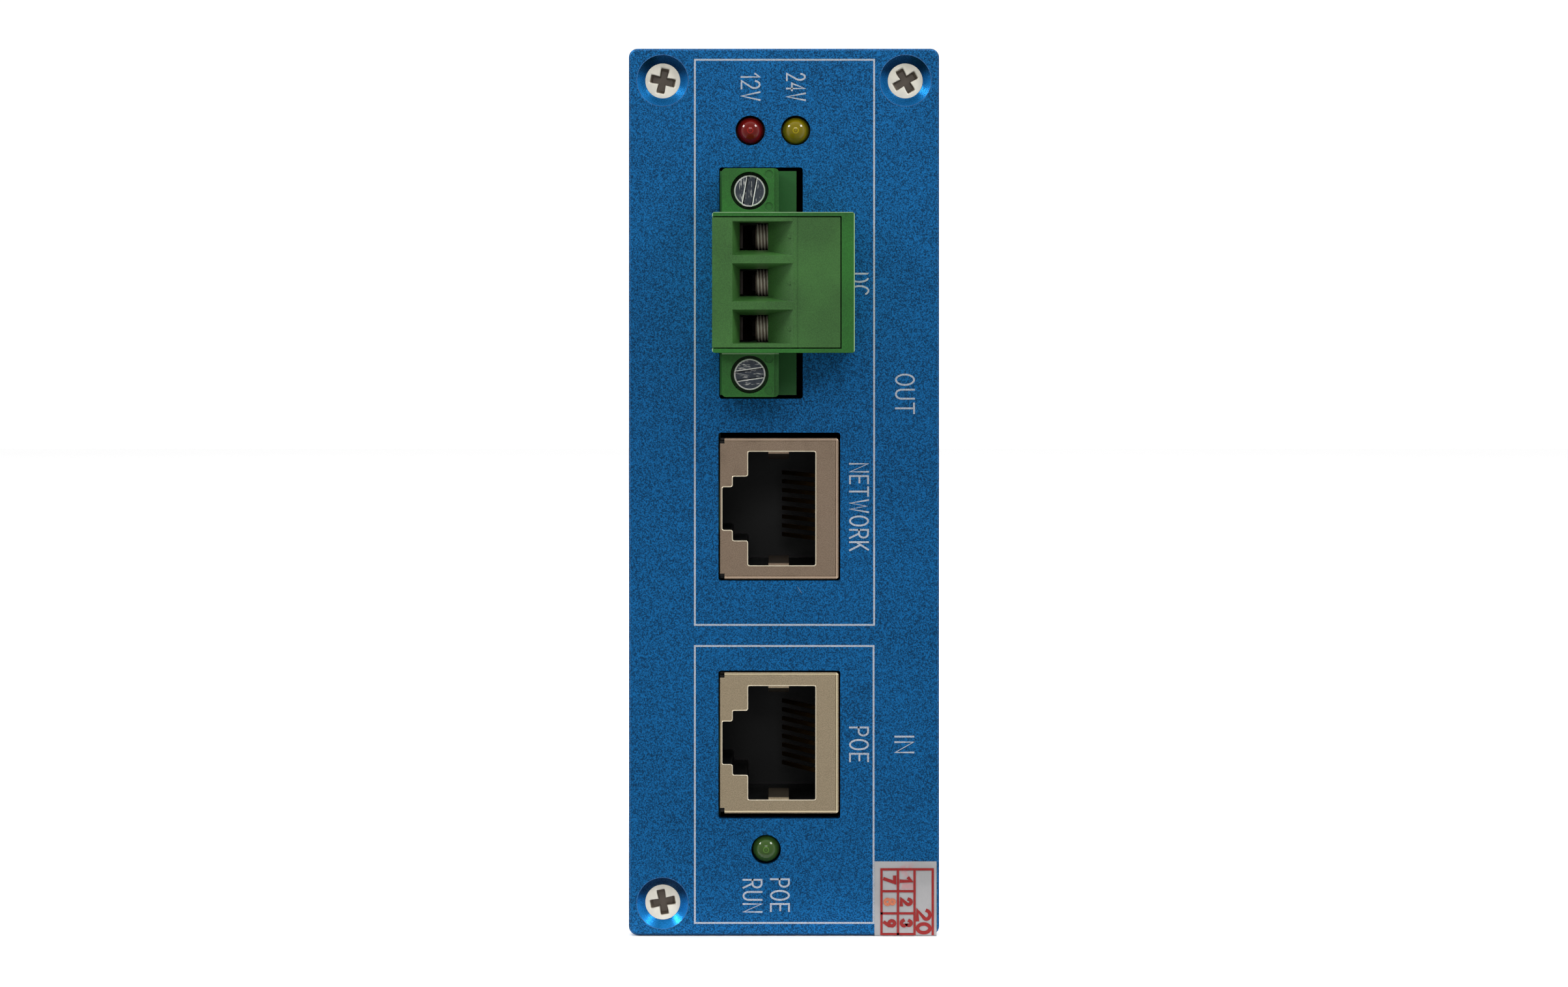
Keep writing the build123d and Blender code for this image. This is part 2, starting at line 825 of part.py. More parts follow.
with BuildPart() as plug_housing:
    with BuildSketch(upright(plug_seat)):
        block((ear_low, ear_high), about_plug(ear_length / 2))
        fillet(vertices(), ear_corner)
    extrude(amount=ear_face - plug_seat)
    with BuildSketch(upright(ear_face - ear_step)):
        block((ear_high - ear_step_width, ear_high), about_plug(ear_length / 2))
    extrude(amount=ear_step, mode=Mode.SUBTRACT)
    with BuildSketch(upright(ear_face)):
        marks = [terminal_up + end * up for up in ejector_ups for end in (-1, 1)]
        with Locations(*[(ear_high - ejector_inset, up) for up in marks]):
            Circle(ejector_mark / 2)
    extrude(amount=-ejector_depth, mode=Mode.SUBTRACT)
    with BuildSketch(upright(plug_seat)):
        block((plug_low, plug_high), about_plug(plug_length / 2))
        fillet(vertices(), plug_corner)
    extrude(amount=plug_face - plug_seat)
    with BuildSketch(upright(front - plug_neck_depth)):
        block(neck_x, about_plug(neck_half))
    extrude(amount=plug_neck_depth + plug_standoff)
    with BuildSketch(upright(cover_seat)):
        block((plug_low - cover_gap, cover_x[1] + cover_gap), about_plug(cover_half + cover_gap))
    extrude(amount=cover_thickness, mode=Mode.SUBTRACT)
    with BuildSketch(upright(chamber_floor)):
        for up in pole_ups:
            block((chamber_low, chamber_high), (up - chamber_width / 2, up + chamber_width / 2))
    extrude(amount=cover_seat - chamber_floor, mode=Mode.SUBTRACT)
    with BuildSketch(upright(front - plug_neck_depth)):
        with Locations(*[(header_axis, up) for up in pole_ups]):
            Rectangle(contact_bore_height, contact_bore_width)
    extrude(amount=plug_neck_depth + plug_standoff + chamber_back, mode=Mode.SUBTRACT)
    for floor, bore in ((chamber_high, clamp_screw), (clamp_head_low, clamp_head)):
        with BuildSketch(on_board(floor - board_face)):
            with Locations(*[(up, clamp_axis) for up in pole_ups]):
                Circle(bore / 2 + clamp_play)
        extrude(amount=plug_high - floor, mode=Mode.SUBTRACT)
    with BuildSketch(upright(plug_seat)):
        with Locations(*[(flange_across, up) for up in flange_ups]):
            Circle(flange_shank / 2 + 2 * pin_play)
    extrude(amount=ear_projection, mode=Mode.SUBTRACT)
    head_floor = ear_face - flange_head_sunk - flange_head_height
    with BuildSketch(upright(head_floor)):
        with Locations(*[(flange_across, up) for up in flange_ups]):
            Circle(flange_head / 2 + flange_head_play)
    extrude(amount=flange_head_height + flange_head_sunk, mode=Mode.SUBTRACT)
keep(plug_housing.part, "plug_housing")

with BuildPart() as plug_cover:
    with BuildSketch(upright(cover_seat)):
        block(cover_x, about_plug(cover_half))
    extrude(amount=cover_thickness)
    with BuildSketch(upright(plug_face)):
        block((cover_line, cover_x[1]), about_plug(cover_half))
    extrude(amount=-cover_step, mode=Mode.SUBTRACT)
    for up in pole_ups:
        with BuildSketch(upright(cover_seat)):
            block(
                (wire_hole_low, wire_hole_high), (up - wire_hole_width / 2, up + wire_hole_width / 2)
            )
        with BuildSketch(upright(plug_face)):
            funnel_bottom = max(up - funnel_width / 2, terminal_up - funnel_reach)
            funnel_top = min(up + funnel_width / 2, terminal_up + funnel_reach)
            block((funnel_low, funnel_high), (funnel_bottom, funnel_top))
        loft(mode=Mode.SUBTRACT)
    with BuildSketch(upright(plug_face - pip_sunk)):
        with Locations(*[(pip_across, up) for up in pole_ups]):
            Circle(pip_diameter / 2)
    extrude(amount=-pip_height)
keep(plug_cover.part, "plug_cover")

for number, up in enumerate(pole_ups[::-1], 1):
    with BuildPart() as clamp_cage:
        with BuildSketch(upright(cage_front - cage_length)):
            block((cage_low, cage_high), (up - cage_width / 2, up + cage_width / 2))
        extrude(amount=cage_length)
        with BuildSketch(upright(cage_front - cage_length)):
            inner = cage_width / 2 - cage_side
            block((cage_low + cage_floor, cage_high - cage_roof), (up - inner, up + inner))
        extrude(amount=cage_length, mode=Mode.SUBTRACT)
        with BuildSketch(on_board(cage_high - cage_roof - board_face)):
            with Locations((up, clamp_axis)):
                Circle(clamp_screw / 2 + clamp_play)
        extrude(amount=cage_roof, mode=Mode.SUBTRACT)
    keep(clamp_cage.part, f"clamp_cage_{number}")

with BuildPart() as clamp_screws:
    for up in pole_ups:
        for foot, top, width in (
            (clamp_screw_tip, clamp_head_low, clamp_screw),
            (clamp_head_low, clamp_head_low + clamp_head_height, clamp_head),
        ):
            with BuildSketch(on_board(foot - board_face)):
                with Locations((up, clamp_axis)):
                    Circle(width / 2)
            extrude(amount=top - foot)
        with BuildSketch(on_board(clamp_head_low + clamp_head_height - board_face)):
            with Locations((up, clamp_axis)):
                Rectangle(clamp_head, clamp_slot)
        extrude(amount=-clamp_slot, mode=Mode.SUBTRACT)
keep(clamp_screws.part, "clamp_screws")

with BuildPart() as plug_contacts:
    leaf_off = contact_leaf_gap + contact_leaf / 2
    web = -chamber_floor - contact_leaf - clamp_play
    bar_x = cage_low + cage_floor + current_bar / 2 + clamp_play / 2
    fork = [
        (header_axis + leaf_off, -front + plug_neck_depth - clamp_play),
        (header_axis + leaf_off, web),
        (header_axis - leaf_off, web),
        (header_axis - leaf_off, -front + plug_neck_depth - clamp_play),
    ]
    bar = [
        (header_axis - leaf_off, web),
        (bar_x, -cage_front + cage_length + clamp_play),
        (bar_x, -cage_front),
    ]
    for up in pole_ups:
        with BuildSketch(level(up - contact_leaf_width / 2)):
            Polygon(*strip(fork, contact_leaf), align=None)
        extrude(amount=contact_leaf_width)
        with BuildSketch(level(up - current_bar_width / 2)):
            Polygon(*strip(bar, current_bar), align=None)
        extrude(amount=current_bar_width)
keep(plug_contacts.part, "plug_contacts")

with BuildPart() as flange_screws:
    for up, turn in zip(flange_ups, flange_screw_turns):
        head_top = head_floor + flange_head_height
        with BuildSketch(upright(head_floor)):
            with Locations((flange_across, up)):
                Circle(flange_head / 2)
        extrude(amount=flange_head_height)
        with BuildSketch(upright(head_floor)):
            with Locations((flange_across, up)):
                Circle(flange_shank / 2)
        extrude(amount=-(head_floor - front + flange_shank_reach))
        with BuildSketch(upright(head_top)):
            with Locations(Location((flange_across, up, 0), (0, 0, turn))):
                Rectangle(flange_head, flange_slot)
        extrude(amount=-flange_slot_depth, mode=Mode.SUBTRACT)
keep(flange_screws.part, "flange_screws")

# Indicator lights: domed lenses with a rear flange, on bent leads
led_tip = front + led_stand
led_back = led_tip - led_diameter / 2 - led_body
lead_places = [
    (up + s * led_lead_pitch / 2, led_back - run) for _, _, up, run in leds for s in (-1, 1)
]

for name, across, up, run in leds:
    with BuildPart() as led:
        with BuildSketch(level(up)):
            with BuildLine():
                radius = led_diameter / 2
                shoulder = (across + radius, -led_tip + radius)
                brim = led_flange / 2
                RadiusArc((across, -led_tip), shoulder, -radius)
                Polyline(
                    shoulder,
                    (across + radius, -led_back - led_flange_thickness),
                    (across + brim, -led_back - led_flange_thickness),
                    (across + brim, -led_back),
                    (across, -led_back),
                    (across, -led_tip),
                )
            make_face()
        revolve(axis=Axis((across, 0, case_rise + up), (0, 1, 0)))
    keep(led.part, f"led_{name}")

with BuildPart() as led_leads:
    for name, across, up, run in leds:
        path = [
            (across, -led_back),
            (across, -led_back + run),
            (board_back_face - pin_below_board, -led_back + run),
        ]
        for s in (-1, 1):
            with BuildSketch(level(up + s * led_lead_pitch / 2 - led_lead / 2)):
                Polygon(*strip(path, led_lead), align=None)
            extrude(amount=led_lead)
keep(led_leads.part, "led_leads")

# Circuit board: slides in the card guides, drilled for pins, leads and shield pegs
board_half = inside_half_height - board_edge_play
peg_middle = (jack_width - jack_sheet) / 2

with BuildPart() as circuit_board:
    with BuildSketch(on_board(-board_thickness)):
        block((-board_half, board_half), (case_back + board_end_gap, case_front - board_end_gap))
        with Locations(*[(up, header_back - pin_back) for up in pole_ups]):
            Circle(pin_size * math.sqrt(0.5) + pin_play, mode=Mode.SUBTRACT)
        with Locations(*lead_places):
            Circle(led_lead * math.sqrt(0.5) + pin_play, mode=Mode.SUBTRACT)
        for name, up, shift in jacks:
            for end in (-1, 1):
                with Locations((up + end * peg_middle, front - peg_depth)):
                    Circle(peg_width / 2 + 2 * pin_play, mode=Mode.SUBTRACT)
    extrude(amount=board_thickness)
keep(circuit_board.part, "circuit_board")


# Parts on the board. Each is placed by its height up the case and its distance behind the front.
def moulded(name, up, behind, size, legs, legs_along_case=False):
    """Moulded package with a drafted body and flat gull-wing legs along two sides."""
    width, length, height = size
    with BuildPart() as package:
        with BuildSketch(on_board(leg_thickness)):
            with Locations((up, front - behind)):
                Rectangle(width, length)
        extrude(amount=height - leg_thickness, taper=package_draft)
        with BuildSketch(on_board()):
            with Locations((up, front - behind)):
                if legs_along_case:
                    with GridLocations(width / legs, 0, legs, 1):
                        Rectangle(leg_width, length + 2 * leg_reach)
                else:
                    with GridLocations(0, length / legs, 1, legs):
                        Rectangle(width + 2 * leg_reach, leg_width)
        extrude(amount=leg_thickness)
    keep(package.part, name)


def can(name, up, behind):
    """Standing electrolytic capacitor: a drawn can with its rolled groove near the foot."""
    foot = (up, front - behind)
    with BuildPart() as capacitor:
        with BuildSketch(on_board()):
            with Locations(foot):
                Circle(can_diameter / 2)
        extrude(amount=can_height)
        fillet(capacitor.edges().filter_by(GeomType.CIRCLE).sort_by(Axis.X)[-1], can_bead)
        with BuildSketch(on_board(can_groove_up)):
            with Locations(foot):
                Circle(can_diameter / 2)
                Circle(can_diameter / 2 - can_groove, mode=Mode.SUBTRACT)
        extrude(amount=can_bead, mode=Mode.SUBTRACT)
    keep(capacitor.part, name)


magnetics = (magnetics_width, magnetics_length, magnetics_height)
rectifier = (rectifier_width, rectifier_length, rectifier_height)
controller = (controller_width, controller_length, controller_height)
power = (power_width, power_length, power_height)
coupler = (optocoupler_width, optocoupler_length, optocoupler_height)

for name, up in (("network_magnetics", network_jack_up), ("poe_magnetics", poe_jack_up)):
    moulded(name, up, magnetics_behind, magnetics, magnetics_legs, legs_along_case=True)
for name, s in (("bridge_rectifier_1", 1), ("bridge_rectifier_2", -1)):
    up = poe_jack_up + s * rectifier_pitch / 2
    moulded(name, up, rectifier_behind, rectifier, rectifier_legs)
for name, s in (("converter_controller", 1), ("pd_controller", -1)):
    up = poe_jack_up + s * controller_pitch / 2
    moulded(name, up, controller_behind, controller, controller_legs)
moulded(
    "power_mosfet", poe_jack_up - controller_pitch / 2, transistor_behind, power, power_legs
)
moulded("output_diode", terminal_up, diode_behind, power, power_legs)
moulded(
    "optocoupler", terminal_up - optocoupler_drop, optocoupler_behind, coupler, optocoupler_legs
)
can("input_capacitor", poe_jack_up + input_can_rise, input_can_behind)
for name, i in (("output_capacitor_1", 0), ("output_capacitor_2", 1)):
    can(name, terminal_up + output_can_rise, output_can_behind + i * output_can_pitch)

# Transformer: a bobbin with its winding, and a ferrite core that closes round it
transformer_up = network_jack_up
core_centre_x = board_face + core_lift + core_height / 2
core_at = Plane(
    origin=(core_centre_x, 0, case_rise + transformer_up), x_dir=(1, 0, 0), z_dir=(0, 0, 1)
)
core_mid = -front + transformer_behind
window_half_x = core_height / 2 - core_limb
window_half_y = core_length / 2 - core_limb

with BuildPart() as transformer_core:
    with BuildSketch(core_at.offset(-core_width / 2)):
        with Locations((0, core_mid)):
            Rectangle(core_height, core_length)
            for s in (-1, 1):
                limb = core_limb / 2
                with Locations((s * (window_half_x + limb) / 2, 0)):
                    Rectangle(window_half_x - limb, 2 * window_half_y, mode=Mode.SUBTRACT)
    extrude(amount=core_width)
keep(transformer_core.part, "transformer_core")

bore_x = core_limb / 2 + bobbin_play
bore_z = core_width / 2 + bobbin_play
tube_x = bore_x + bobbin_wall
tube_z = bore_z + bobbin_wall
flange_x = window_half_x - bobbin_play
bobbin_z = tube_z + flange_x - tube_x
bobbin_start = -core_mid - window_half_y + bobbin_play
bobbin_length = 2 * (window_half_y - bobbin_play)


def ring(outer_x, outer_up, inner_x, inner_up):
    """Rectangular ring round the core's middle limb, in the sketch that is open."""
    with Locations((core_centre_x, transformer_up)):
        Rectangle(2 * outer_x, 2 * outer_up)
        Rectangle(2 * inner_x, 2 * inner_up, mode=Mode.SUBTRACT)


with BuildPart() as transformer_bobbin:
    with BuildSketch(upright(bobbin_start)):
        ring(tube_x, tube_z, bore_x, bore_z)
    extrude(amount=bobbin_length)
    for start in (bobbin_start, bobbin_start + bobbin_length - bobbin_flange):
        with BuildSketch(upright(start)):
            ring(flange_x, bobbin_z, bore_x, bore_z)
            for s in (-1, 1):
                foot = (s * (bobbin_z - bobbin_flange), s * bobbin_z)
                block(
                    (board_face, core_centre_x - flange_x + bobbin_flange),
                    (transformer_up + foot[0], transformer_up + foot[1]),
                )
        extrude(amount=bobbin_flange)
keep(transformer_bobbin.part, "transformer_bobbin")

with BuildPart() as transformer_winding:
    with BuildSketch(upright(bobbin_start + bobbin_flange)):
        ring(flange_x - winding_gap, bobbin_z - winding_gap, tube_x, tube_z)
    extrude(amount=bobbin_length - 2 * bobbin_flange)
keep(transformer_winding.part, "transformer_winding")

# Output choke: a drum core with its winding sunk between the two flanges
with BuildPart() as output_choke:
    with BuildSketch(on_board()):
        with Locations((terminal_up, front - choke_behind)):
            Circle(choke_diameter / 2)
    extrude(amount=choke_height)
    with BuildSketch(on_board(choke_flange)):
        with Locations((terminal_up, front - choke_behind)):
            Circle(choke_diameter / 2)
            Circle(choke_diameter / 2 - choke_waist, mode=Mode.SUBTRACT)
    extrude(amount=choke_height - 2 * choke_flange, mode=Mode.SUBTRACT)
keep(output_choke.part, "output_choke")

# Safety capacitor: a dipped disc standing on its edge behind the choke, on two leads
disc_behind = choke_behind + choke_diameter / 2 + disc_gap + disc_thickness / 2

with BuildPart() as safety_capacitor:
    disc_centre = (board_face + disc_lift + disc_diameter / 2, terminal_up)
    with BuildSketch(upright(front - disc_behind - disc_thickness / 2)):
        with Locations(disc_centre):
            Circle(disc_diameter / 2)
    extrude(amount=disc_thickness)
    fillet(safety_capacitor.edges().filter_by(GeomType.CIRCLE), disc_round)
    with BuildSketch(on_board()):
        with Locations((terminal_up, front - disc_behind)):
            with GridLocations(disc_lead_pitch, 0, 2, 1):
                Rectangle(disc_lead, disc_lead)
    extrude(amount=disc_lift + disc_lead_bite)
keep(safety_capacitor.part, "safety_capacitor")
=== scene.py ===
import math

import bmesh
import bpy
import numpy as np
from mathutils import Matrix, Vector


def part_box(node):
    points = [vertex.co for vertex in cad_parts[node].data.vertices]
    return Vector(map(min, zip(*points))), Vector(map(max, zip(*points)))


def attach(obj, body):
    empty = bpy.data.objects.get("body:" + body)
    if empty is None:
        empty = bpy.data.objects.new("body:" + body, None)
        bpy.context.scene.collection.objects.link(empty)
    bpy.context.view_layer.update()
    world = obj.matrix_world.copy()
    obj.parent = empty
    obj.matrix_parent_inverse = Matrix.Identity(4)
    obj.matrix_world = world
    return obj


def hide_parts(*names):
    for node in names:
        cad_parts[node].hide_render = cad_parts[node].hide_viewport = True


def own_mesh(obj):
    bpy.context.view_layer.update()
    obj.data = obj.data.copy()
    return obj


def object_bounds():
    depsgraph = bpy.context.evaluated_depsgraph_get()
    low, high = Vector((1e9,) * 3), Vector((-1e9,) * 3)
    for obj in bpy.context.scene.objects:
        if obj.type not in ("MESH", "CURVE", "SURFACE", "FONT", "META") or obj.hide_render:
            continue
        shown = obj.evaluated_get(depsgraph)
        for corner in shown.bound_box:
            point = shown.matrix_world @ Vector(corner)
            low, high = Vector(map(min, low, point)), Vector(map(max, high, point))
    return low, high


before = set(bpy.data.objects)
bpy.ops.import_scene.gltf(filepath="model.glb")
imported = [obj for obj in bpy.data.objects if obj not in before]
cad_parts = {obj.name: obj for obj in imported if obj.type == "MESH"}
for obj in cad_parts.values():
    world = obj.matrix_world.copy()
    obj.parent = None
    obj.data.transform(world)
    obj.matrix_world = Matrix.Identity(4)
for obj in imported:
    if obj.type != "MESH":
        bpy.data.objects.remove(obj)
cad_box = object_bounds()
mm = 0.001
rise = 6.0 * mm  # the middle of the case stands this far above the rail's centre line

# Front panel: a 2 mm aluminium plate, punched, countersunk and edge-broken, then anodised blue. The
# etch before anodising leaves a fine sparkling grain. It is screwed to the end of the case.
panel_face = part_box("front_panel")[0].y
panel_half_width = 17.5
panel_half_height = 50.0
edge_break = 0.2
edge_blur = 0.04
anodised_blue = (18, 93, 149)
grain_size = 0.13 * mm
screw_across = 13.7
screw_up = 46.4
countersink_radius = 2.9
scratch_ends = ((1.45, -10.6), (2.05, -11.5))


def colour(red, green, blue):
    """A colour as it looks on a screen, 0 to 255, turned into the shader's linear numbers."""
    part = np.array([red, green, blue]) / 255
    linear = np.where(part > 0.04045, ((part + 0.055) / 1.055) ** 2.4, part / 12.92)
    return (*linear.tolist(), 1.0)


class Amount:
    """The value of a shader socket. Each operator on it adds the Math node that it names."""

    def __init__(self, recipe, socket):
        self.recipe, self.socket = recipe, socket

    def math(self, operation, *values):
        return self.recipe.node("ShaderNodeMath", {"operation": operation}, dict(enumerate(values)))

    def __add__(self, other):
        return self.math("ADD", self, other)

    def __radd__(self, other):
        return self.math("ADD", other, self)

    def __sub__(self, other):
        return self.math("SUBTRACT", self, other)

    def __rsub__(self, other):
        return self.math("SUBTRACT", other, self)

    def __mul__(self, other):
        return self.math("MULTIPLY", self, other)

    def __rmul__(self, other):
        return self.math("MULTIPLY", other, self)

    def __pow__(self, other):
        return self.math("POWER", self, other)

    def __abs__(self):
        return self.math("ABSOLUTE", self)

    def lower(self, other):
        return self.math("MINIMUM", self, other)

    def higher(self, other):
        return self.math("MAXIMUM", self, other)

    def ramp(self, start, end):
        """0 below start and 1 above end, smooth between them. start may be the larger."""
        return self.recipe.node(
            "ShaderNodeMapRange",
            {"interpolation_type": "SMOOTHSTEP", "clamp": True},
            {"Value": self, "From Min": start, "From Max": end},
        )

    def band(self, start, full, fading, end):
        """0 up to start, 1 from full to fading, and 0 again from end."""
        return self.ramp(start, full) * self.ramp(end, fading)


class Recipe:
    """The nodes of one finish. Its fixed numbers sit on the shader; feed() leads in the rest."""

    def __init__(self, name, fixed):
        self.material = bpy.data.materials.new(name)
        self.material.use_nodes = True
        self.tree = self.material.node_tree
        self.shader = self.tree.nodes["Principled BSDF"]
        for socket, value in fixed.items():
            self.shader.inputs[socket].default_value = value
        self.place = self.node("ShaderNodeTexCoord", output="Object")

    def node(self, kind, settings=None, sockets=None, output=0):
        """Adds a node of this type: its settings first, then the values or links of its sockets."""
        made = self.tree.nodes.new(kind)
        for name, value in (settings or {}).items():
            setattr(made, name, value)
        for name, value in (sockets or {}).items():
            if isinstance(value, Amount):
                self.tree.links.new(value.socket, made.inputs[name])
            else:
                made.inputs[name].default_value = value
        return Amount(self, made.outputs[output])

    def feed(self, socket, value):
        self.tree.links.new(value.socket, self.shader.inputs[socket])

    def axis(self, name):
        """How far along X, Y or Z a point lies, in metres."""
        return self.node("ShaderNodeSeparateXYZ", None, {0: self.place}, name)

    def grain(self, size, detail=2.0, stretch=(1.0, 1.0, 1.0)):
        """Cloudy noise, 0 to 1, with spots of this size in metres, drawn out along an axis."""
        scaled = self.node(
            "ShaderNodeVectorMath", {"operation": "MULTIPLY"}, {0: self.place, 1: stretch}
        )
        return self.node(
            "ShaderNodeTexNoise", None, {"Vector": scaled, "Scale": 1 / size, "Detail": detail}
        )

    def mixed(self, share, first, second):
        """The first colour where share is 0 and the second where it is 1."""
        return self.node("ShaderNodeMix", {"data_type": "RGBA"}, {0: share, 6: first, 7: second}, 2)

    def dent(self, height, depth, strength=1.0, edge=0.0):
        """Feeds the shader a bump of this height pattern, depth metres from low to high, on a
        surface whose sharp edges shade as if rounded to this radius."""
        sockets = {"Height": height, "Distance": depth, "Strength": strength}
        if edge:
            sockets["Normal"] = self.node("ShaderNodeBevel", {"samples": 6}, {"Radius": edge})
        self.feed("Normal", self.node("ShaderNodeBump", None, sockets))


def dress(finish, *names):
    """Gives CAD nodes this finish."""
    for name in names:
        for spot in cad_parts[name].material_slots:
            spot.material = finish


def shaded(base, factor):
    """The colour made darker or lighter by a factor."""
    return (*(min(1.0, part * factor) for part in base[:3]), 1.0)


def scratched(recipe, tone, ends):
    """The tone with a hair scratch, which fades out 0.05 mm from the line between its ends."""
    (x0, z0), (x1, z1) = ends
    length = math.hypot(x1 - x0, z1 - z0)
    along_x, along_z = (x1 - x0) / length, (z1 - z0) / length
    east = recipe.axis("X") - x0 * mm
    up = recipe.axis("Z") - (z0 * mm + rise)
    along = (east * along_x + up * along_z) * (1 / mm)
    off = abs(east * along_z - up * along_x) * (1 / mm)
    reach = along.band(0, 0.3, length - 0.3, length)
    return recipe.mixed(off.ramp(0.05, 0.01) * reach * 0.6, tone, colour(150, 175, 200))


def anodised(name, base, grain, scratch=None):
    """Etched and anodised aluminium: a speckle of two sizes, with the light picking out single
    grains. The turned countersinks, which lie within their radius of the screws, are smoother,
    with a pale lip, painted shade in their upper halves and a painted highlight in their lower
    halves. The broken outer edge is darkened as painted shade."""
    recipe = Recipe(name, {"Specular IOR Level": 0.2})
    fine = recipe.grain(grain, 3.0).ramp(0.34, 0.68)
    broad = recipe.grain(grain * 60, 2.0).ramp(0.3, 0.7)
    share = 0.94 * fine + 0.06 * broad
    tone = recipe.mixed(share, shaded(base, 0.36), shaded(base, 1.72))
    beside = abs(recipe.axis("X"))
    height = recipe.axis("Z") - rise
    above = abs(height)
    east, up = beside - screw_across * mm, above - screw_up * mm
    upper_half_shade = (up * height * (1 / (screw_up * mm))).ramp(-0.6 * mm, 1.4 * mm)
    away = ((east * east + up * up) ** 0.5) * (1 / mm)
    seat = away.ramp(countersink_radius, countersink_radius - edge_blur)
    lip = away.band(
        countersink_radius - edge_blur, countersink_radius,
        countersink_radius + 0.02, countersink_radius + 0.06,
    )
    shaded_edge_masks = []
    for off, half in ((beside, panel_half_width), (above, panel_half_height)):
        start = half - edge_break
        shaded_edge_masks.append(off.ramp((start - edge_blur) * mm, (start + edge_blur) * mm))
    # Painted shade in the countersinks' upper halves and on the broken outer edge, then a painted
    # highlight in their lower halves
    shade = (seat * upper_half_shade).higher(shaded_edge_masks[0].higher(shaded_edge_masks[1]) * 0.5)
    tone = recipe.mixed(shade * 0.9, tone, shaded(base, 0.22))
    tone = recipe.mixed(seat * (1 - upper_half_shade) * 0.6, tone, shaded(base, 2.4))
    tone = recipe.mixed(lip * 0.3, tone, colour(120, 150, 200))
    if scratch:
        tone = scratched(recipe, tone, scratch)
    recipe.feed("Base Color", tone)
    recipe.feed("Metallic", 0.5 + 0.35 * seat)
    recipe.feed("Roughness", 0.52 - 0.14 * fine - 0.2 * seat)
    recipe.dent(fine, 0.006 * mm, 0.5)
    return recipe.material


panel_finish = anodised("blue_anodising", colour(*anodised_blue), grain_size, scratch_ends)
dress(panel_finish, "front_panel")

# Panel print: two frames and the words beside the ports, screen-printed in one pale ink after the
# anodising. The ink stands two hundredths of a millimetre proud, and later strokes a little more.
ink_height = 0.02 * mm
ink_step = 0.05
ink_steps = 6
frame_line = 0.2
word_line = 0.2
cap_height = 2.04
letter_gap = 0.3
printed_frames = ((-10.05, 48.73, 10.16, -15.0), (-10.05, -17.38, 10.1, -48.61))
printed_words = (  # the word, its middle across, and the heights where it starts and ends
    ("12V", -3.77, 47.15, 44.2),
    ("24V", 1.34, 47.16, 44.18),
    ("DC", 8.5, 24.61, 22.32),
    ("OUT", 13.64, 13.23, 8.88),
    ("NETWORK", 8.46, 3.17, -6.54),
    ("POE", 8.46, -26.57, -30.34),
    ("IN", 13.57, -27.6, -29.38),
    ("POE", -0.46, -43.68, -47.23),
    ("RUN", -3.55, -43.75, -47.37),
)


def bow(across, up, half_width, half_height, start, end):
    """Points of an elliptic arc between two angles in degrees: middle plus (a cos t, b sin t)."""
    turn = np.radians(np.linspace(start, end, 2 + int(abs(end - start) / 12)))
    return np.stack([across + half_width * np.cos(turn), up + half_height * np.sin(turn)], 1)


def pen(*runs):
    """One stroke through points and arcs, end to end."""
    return np.concatenate([np.atleast_2d(np.array(run, float)) for run in runs])


# Each letter is its width and its strokes, on a cap height of 1
stroke_letters = {
    "0": (0.56, [pen(bow(0.28, 0.5, 0.28, 0.5, 90, 450))]),
    "1": (0.24, [pen([(0, 0.76), (0.24, 1), (0.24, 0)])]),
    "2": (0.56, [pen(bow(0.28, 0.72, 0.27, 0.28, 165, -35), [(0, 0), (0.58, 0)])]),
    "3": (0.56, [
        pen(bow(0.26, 0.76, 0.24, 0.24, 160, -90), bow(0.26, 0.26, 0.29, 0.26, 90, -160)),
    ]),
    "4": (0.6, [pen([(0.46, 0), (0.46, 1), (0, 0.28), (0.62, 0.28)])]),
    "7": (0.56, [pen([(0, 1), (0.56, 1), (0.2, 0)])]),
    "8": (0.56, [
        pen(bow(0.28, 0.77, 0.22, 0.22, 0, 360)),
        pen(bow(0.28, 0.27, 0.28, 0.27, 0, 360)),
    ]),
    "9": (0.56, [
        pen(bow(0.28, 0.71, 0.27, 0.29, 0, 360)),
        pen([(0.55, 0.71), (0.52, 0.4), (0.22, 0)]),
    ]),
    "C": (0.56, [pen(bow(0.33, 0.5, 0.33, 0.5, 48, 312))]),
    "D": (0.58, [pen([(0.25, 0), (0, 0), (0, 1), (0.25, 1)], bow(0.25, 0.5, 0.33, 0.5, 90, -90))]),
    "E": (0.48, [pen([(0.5, 1), (0, 1), (0, 0), (0.5, 0)]), pen([(0, 0.52), (0.44, 0.52)])]),
    "I": (0.0, [pen([(0, 0), (0, 1)])]),
    "K": (0.54, [
        pen([(0, 0), (0, 1)]),
        pen([(0.52, 1), (0, 0.36)]),
        pen([(0.19, 0.58), (0.56, 0)]),
    ]),
    "N": (0.56, [pen([(0, 0), (0, 1), (0.56, 0), (0.56, 1)])]),
    "O": (0.64, [pen(bow(0.32, 0.5, 0.32, 0.5, 90, 450))]),
    "P": (0.54, [pen([(0, 0), (0, 1)], bow(0.28, 0.74, 0.26, 0.26, 90, -90), [(0, 0.48)])]),
    "R": (0.56, [
        pen([(0, 0), (0, 1)], bow(0.28, 0.75, 0.26, 0.25, 90, -90), [(0, 0.5)]),
        pen([(0.26, 0.5), (0.56, 0)]),
    ]),
    "T": (0.6, [pen([(0, 1), (0.6, 1)]), pen([(0.3, 1), (0.3, 0)])]),
    "U": (0.56, [pen([(0, 1)], bow(0.28, 0.3, 0.28, 0.3, 180, 360), [(0.56, 1)])]),
    "V": (0.6, [pen([(0, 1), (0.3, 0), (0.6, 1)])]),
    "W": (0.84, [pen([(0, 1), (0.21, 0), (0.42, 0.92), (0.63, 0), (0.84, 1)])]),
}


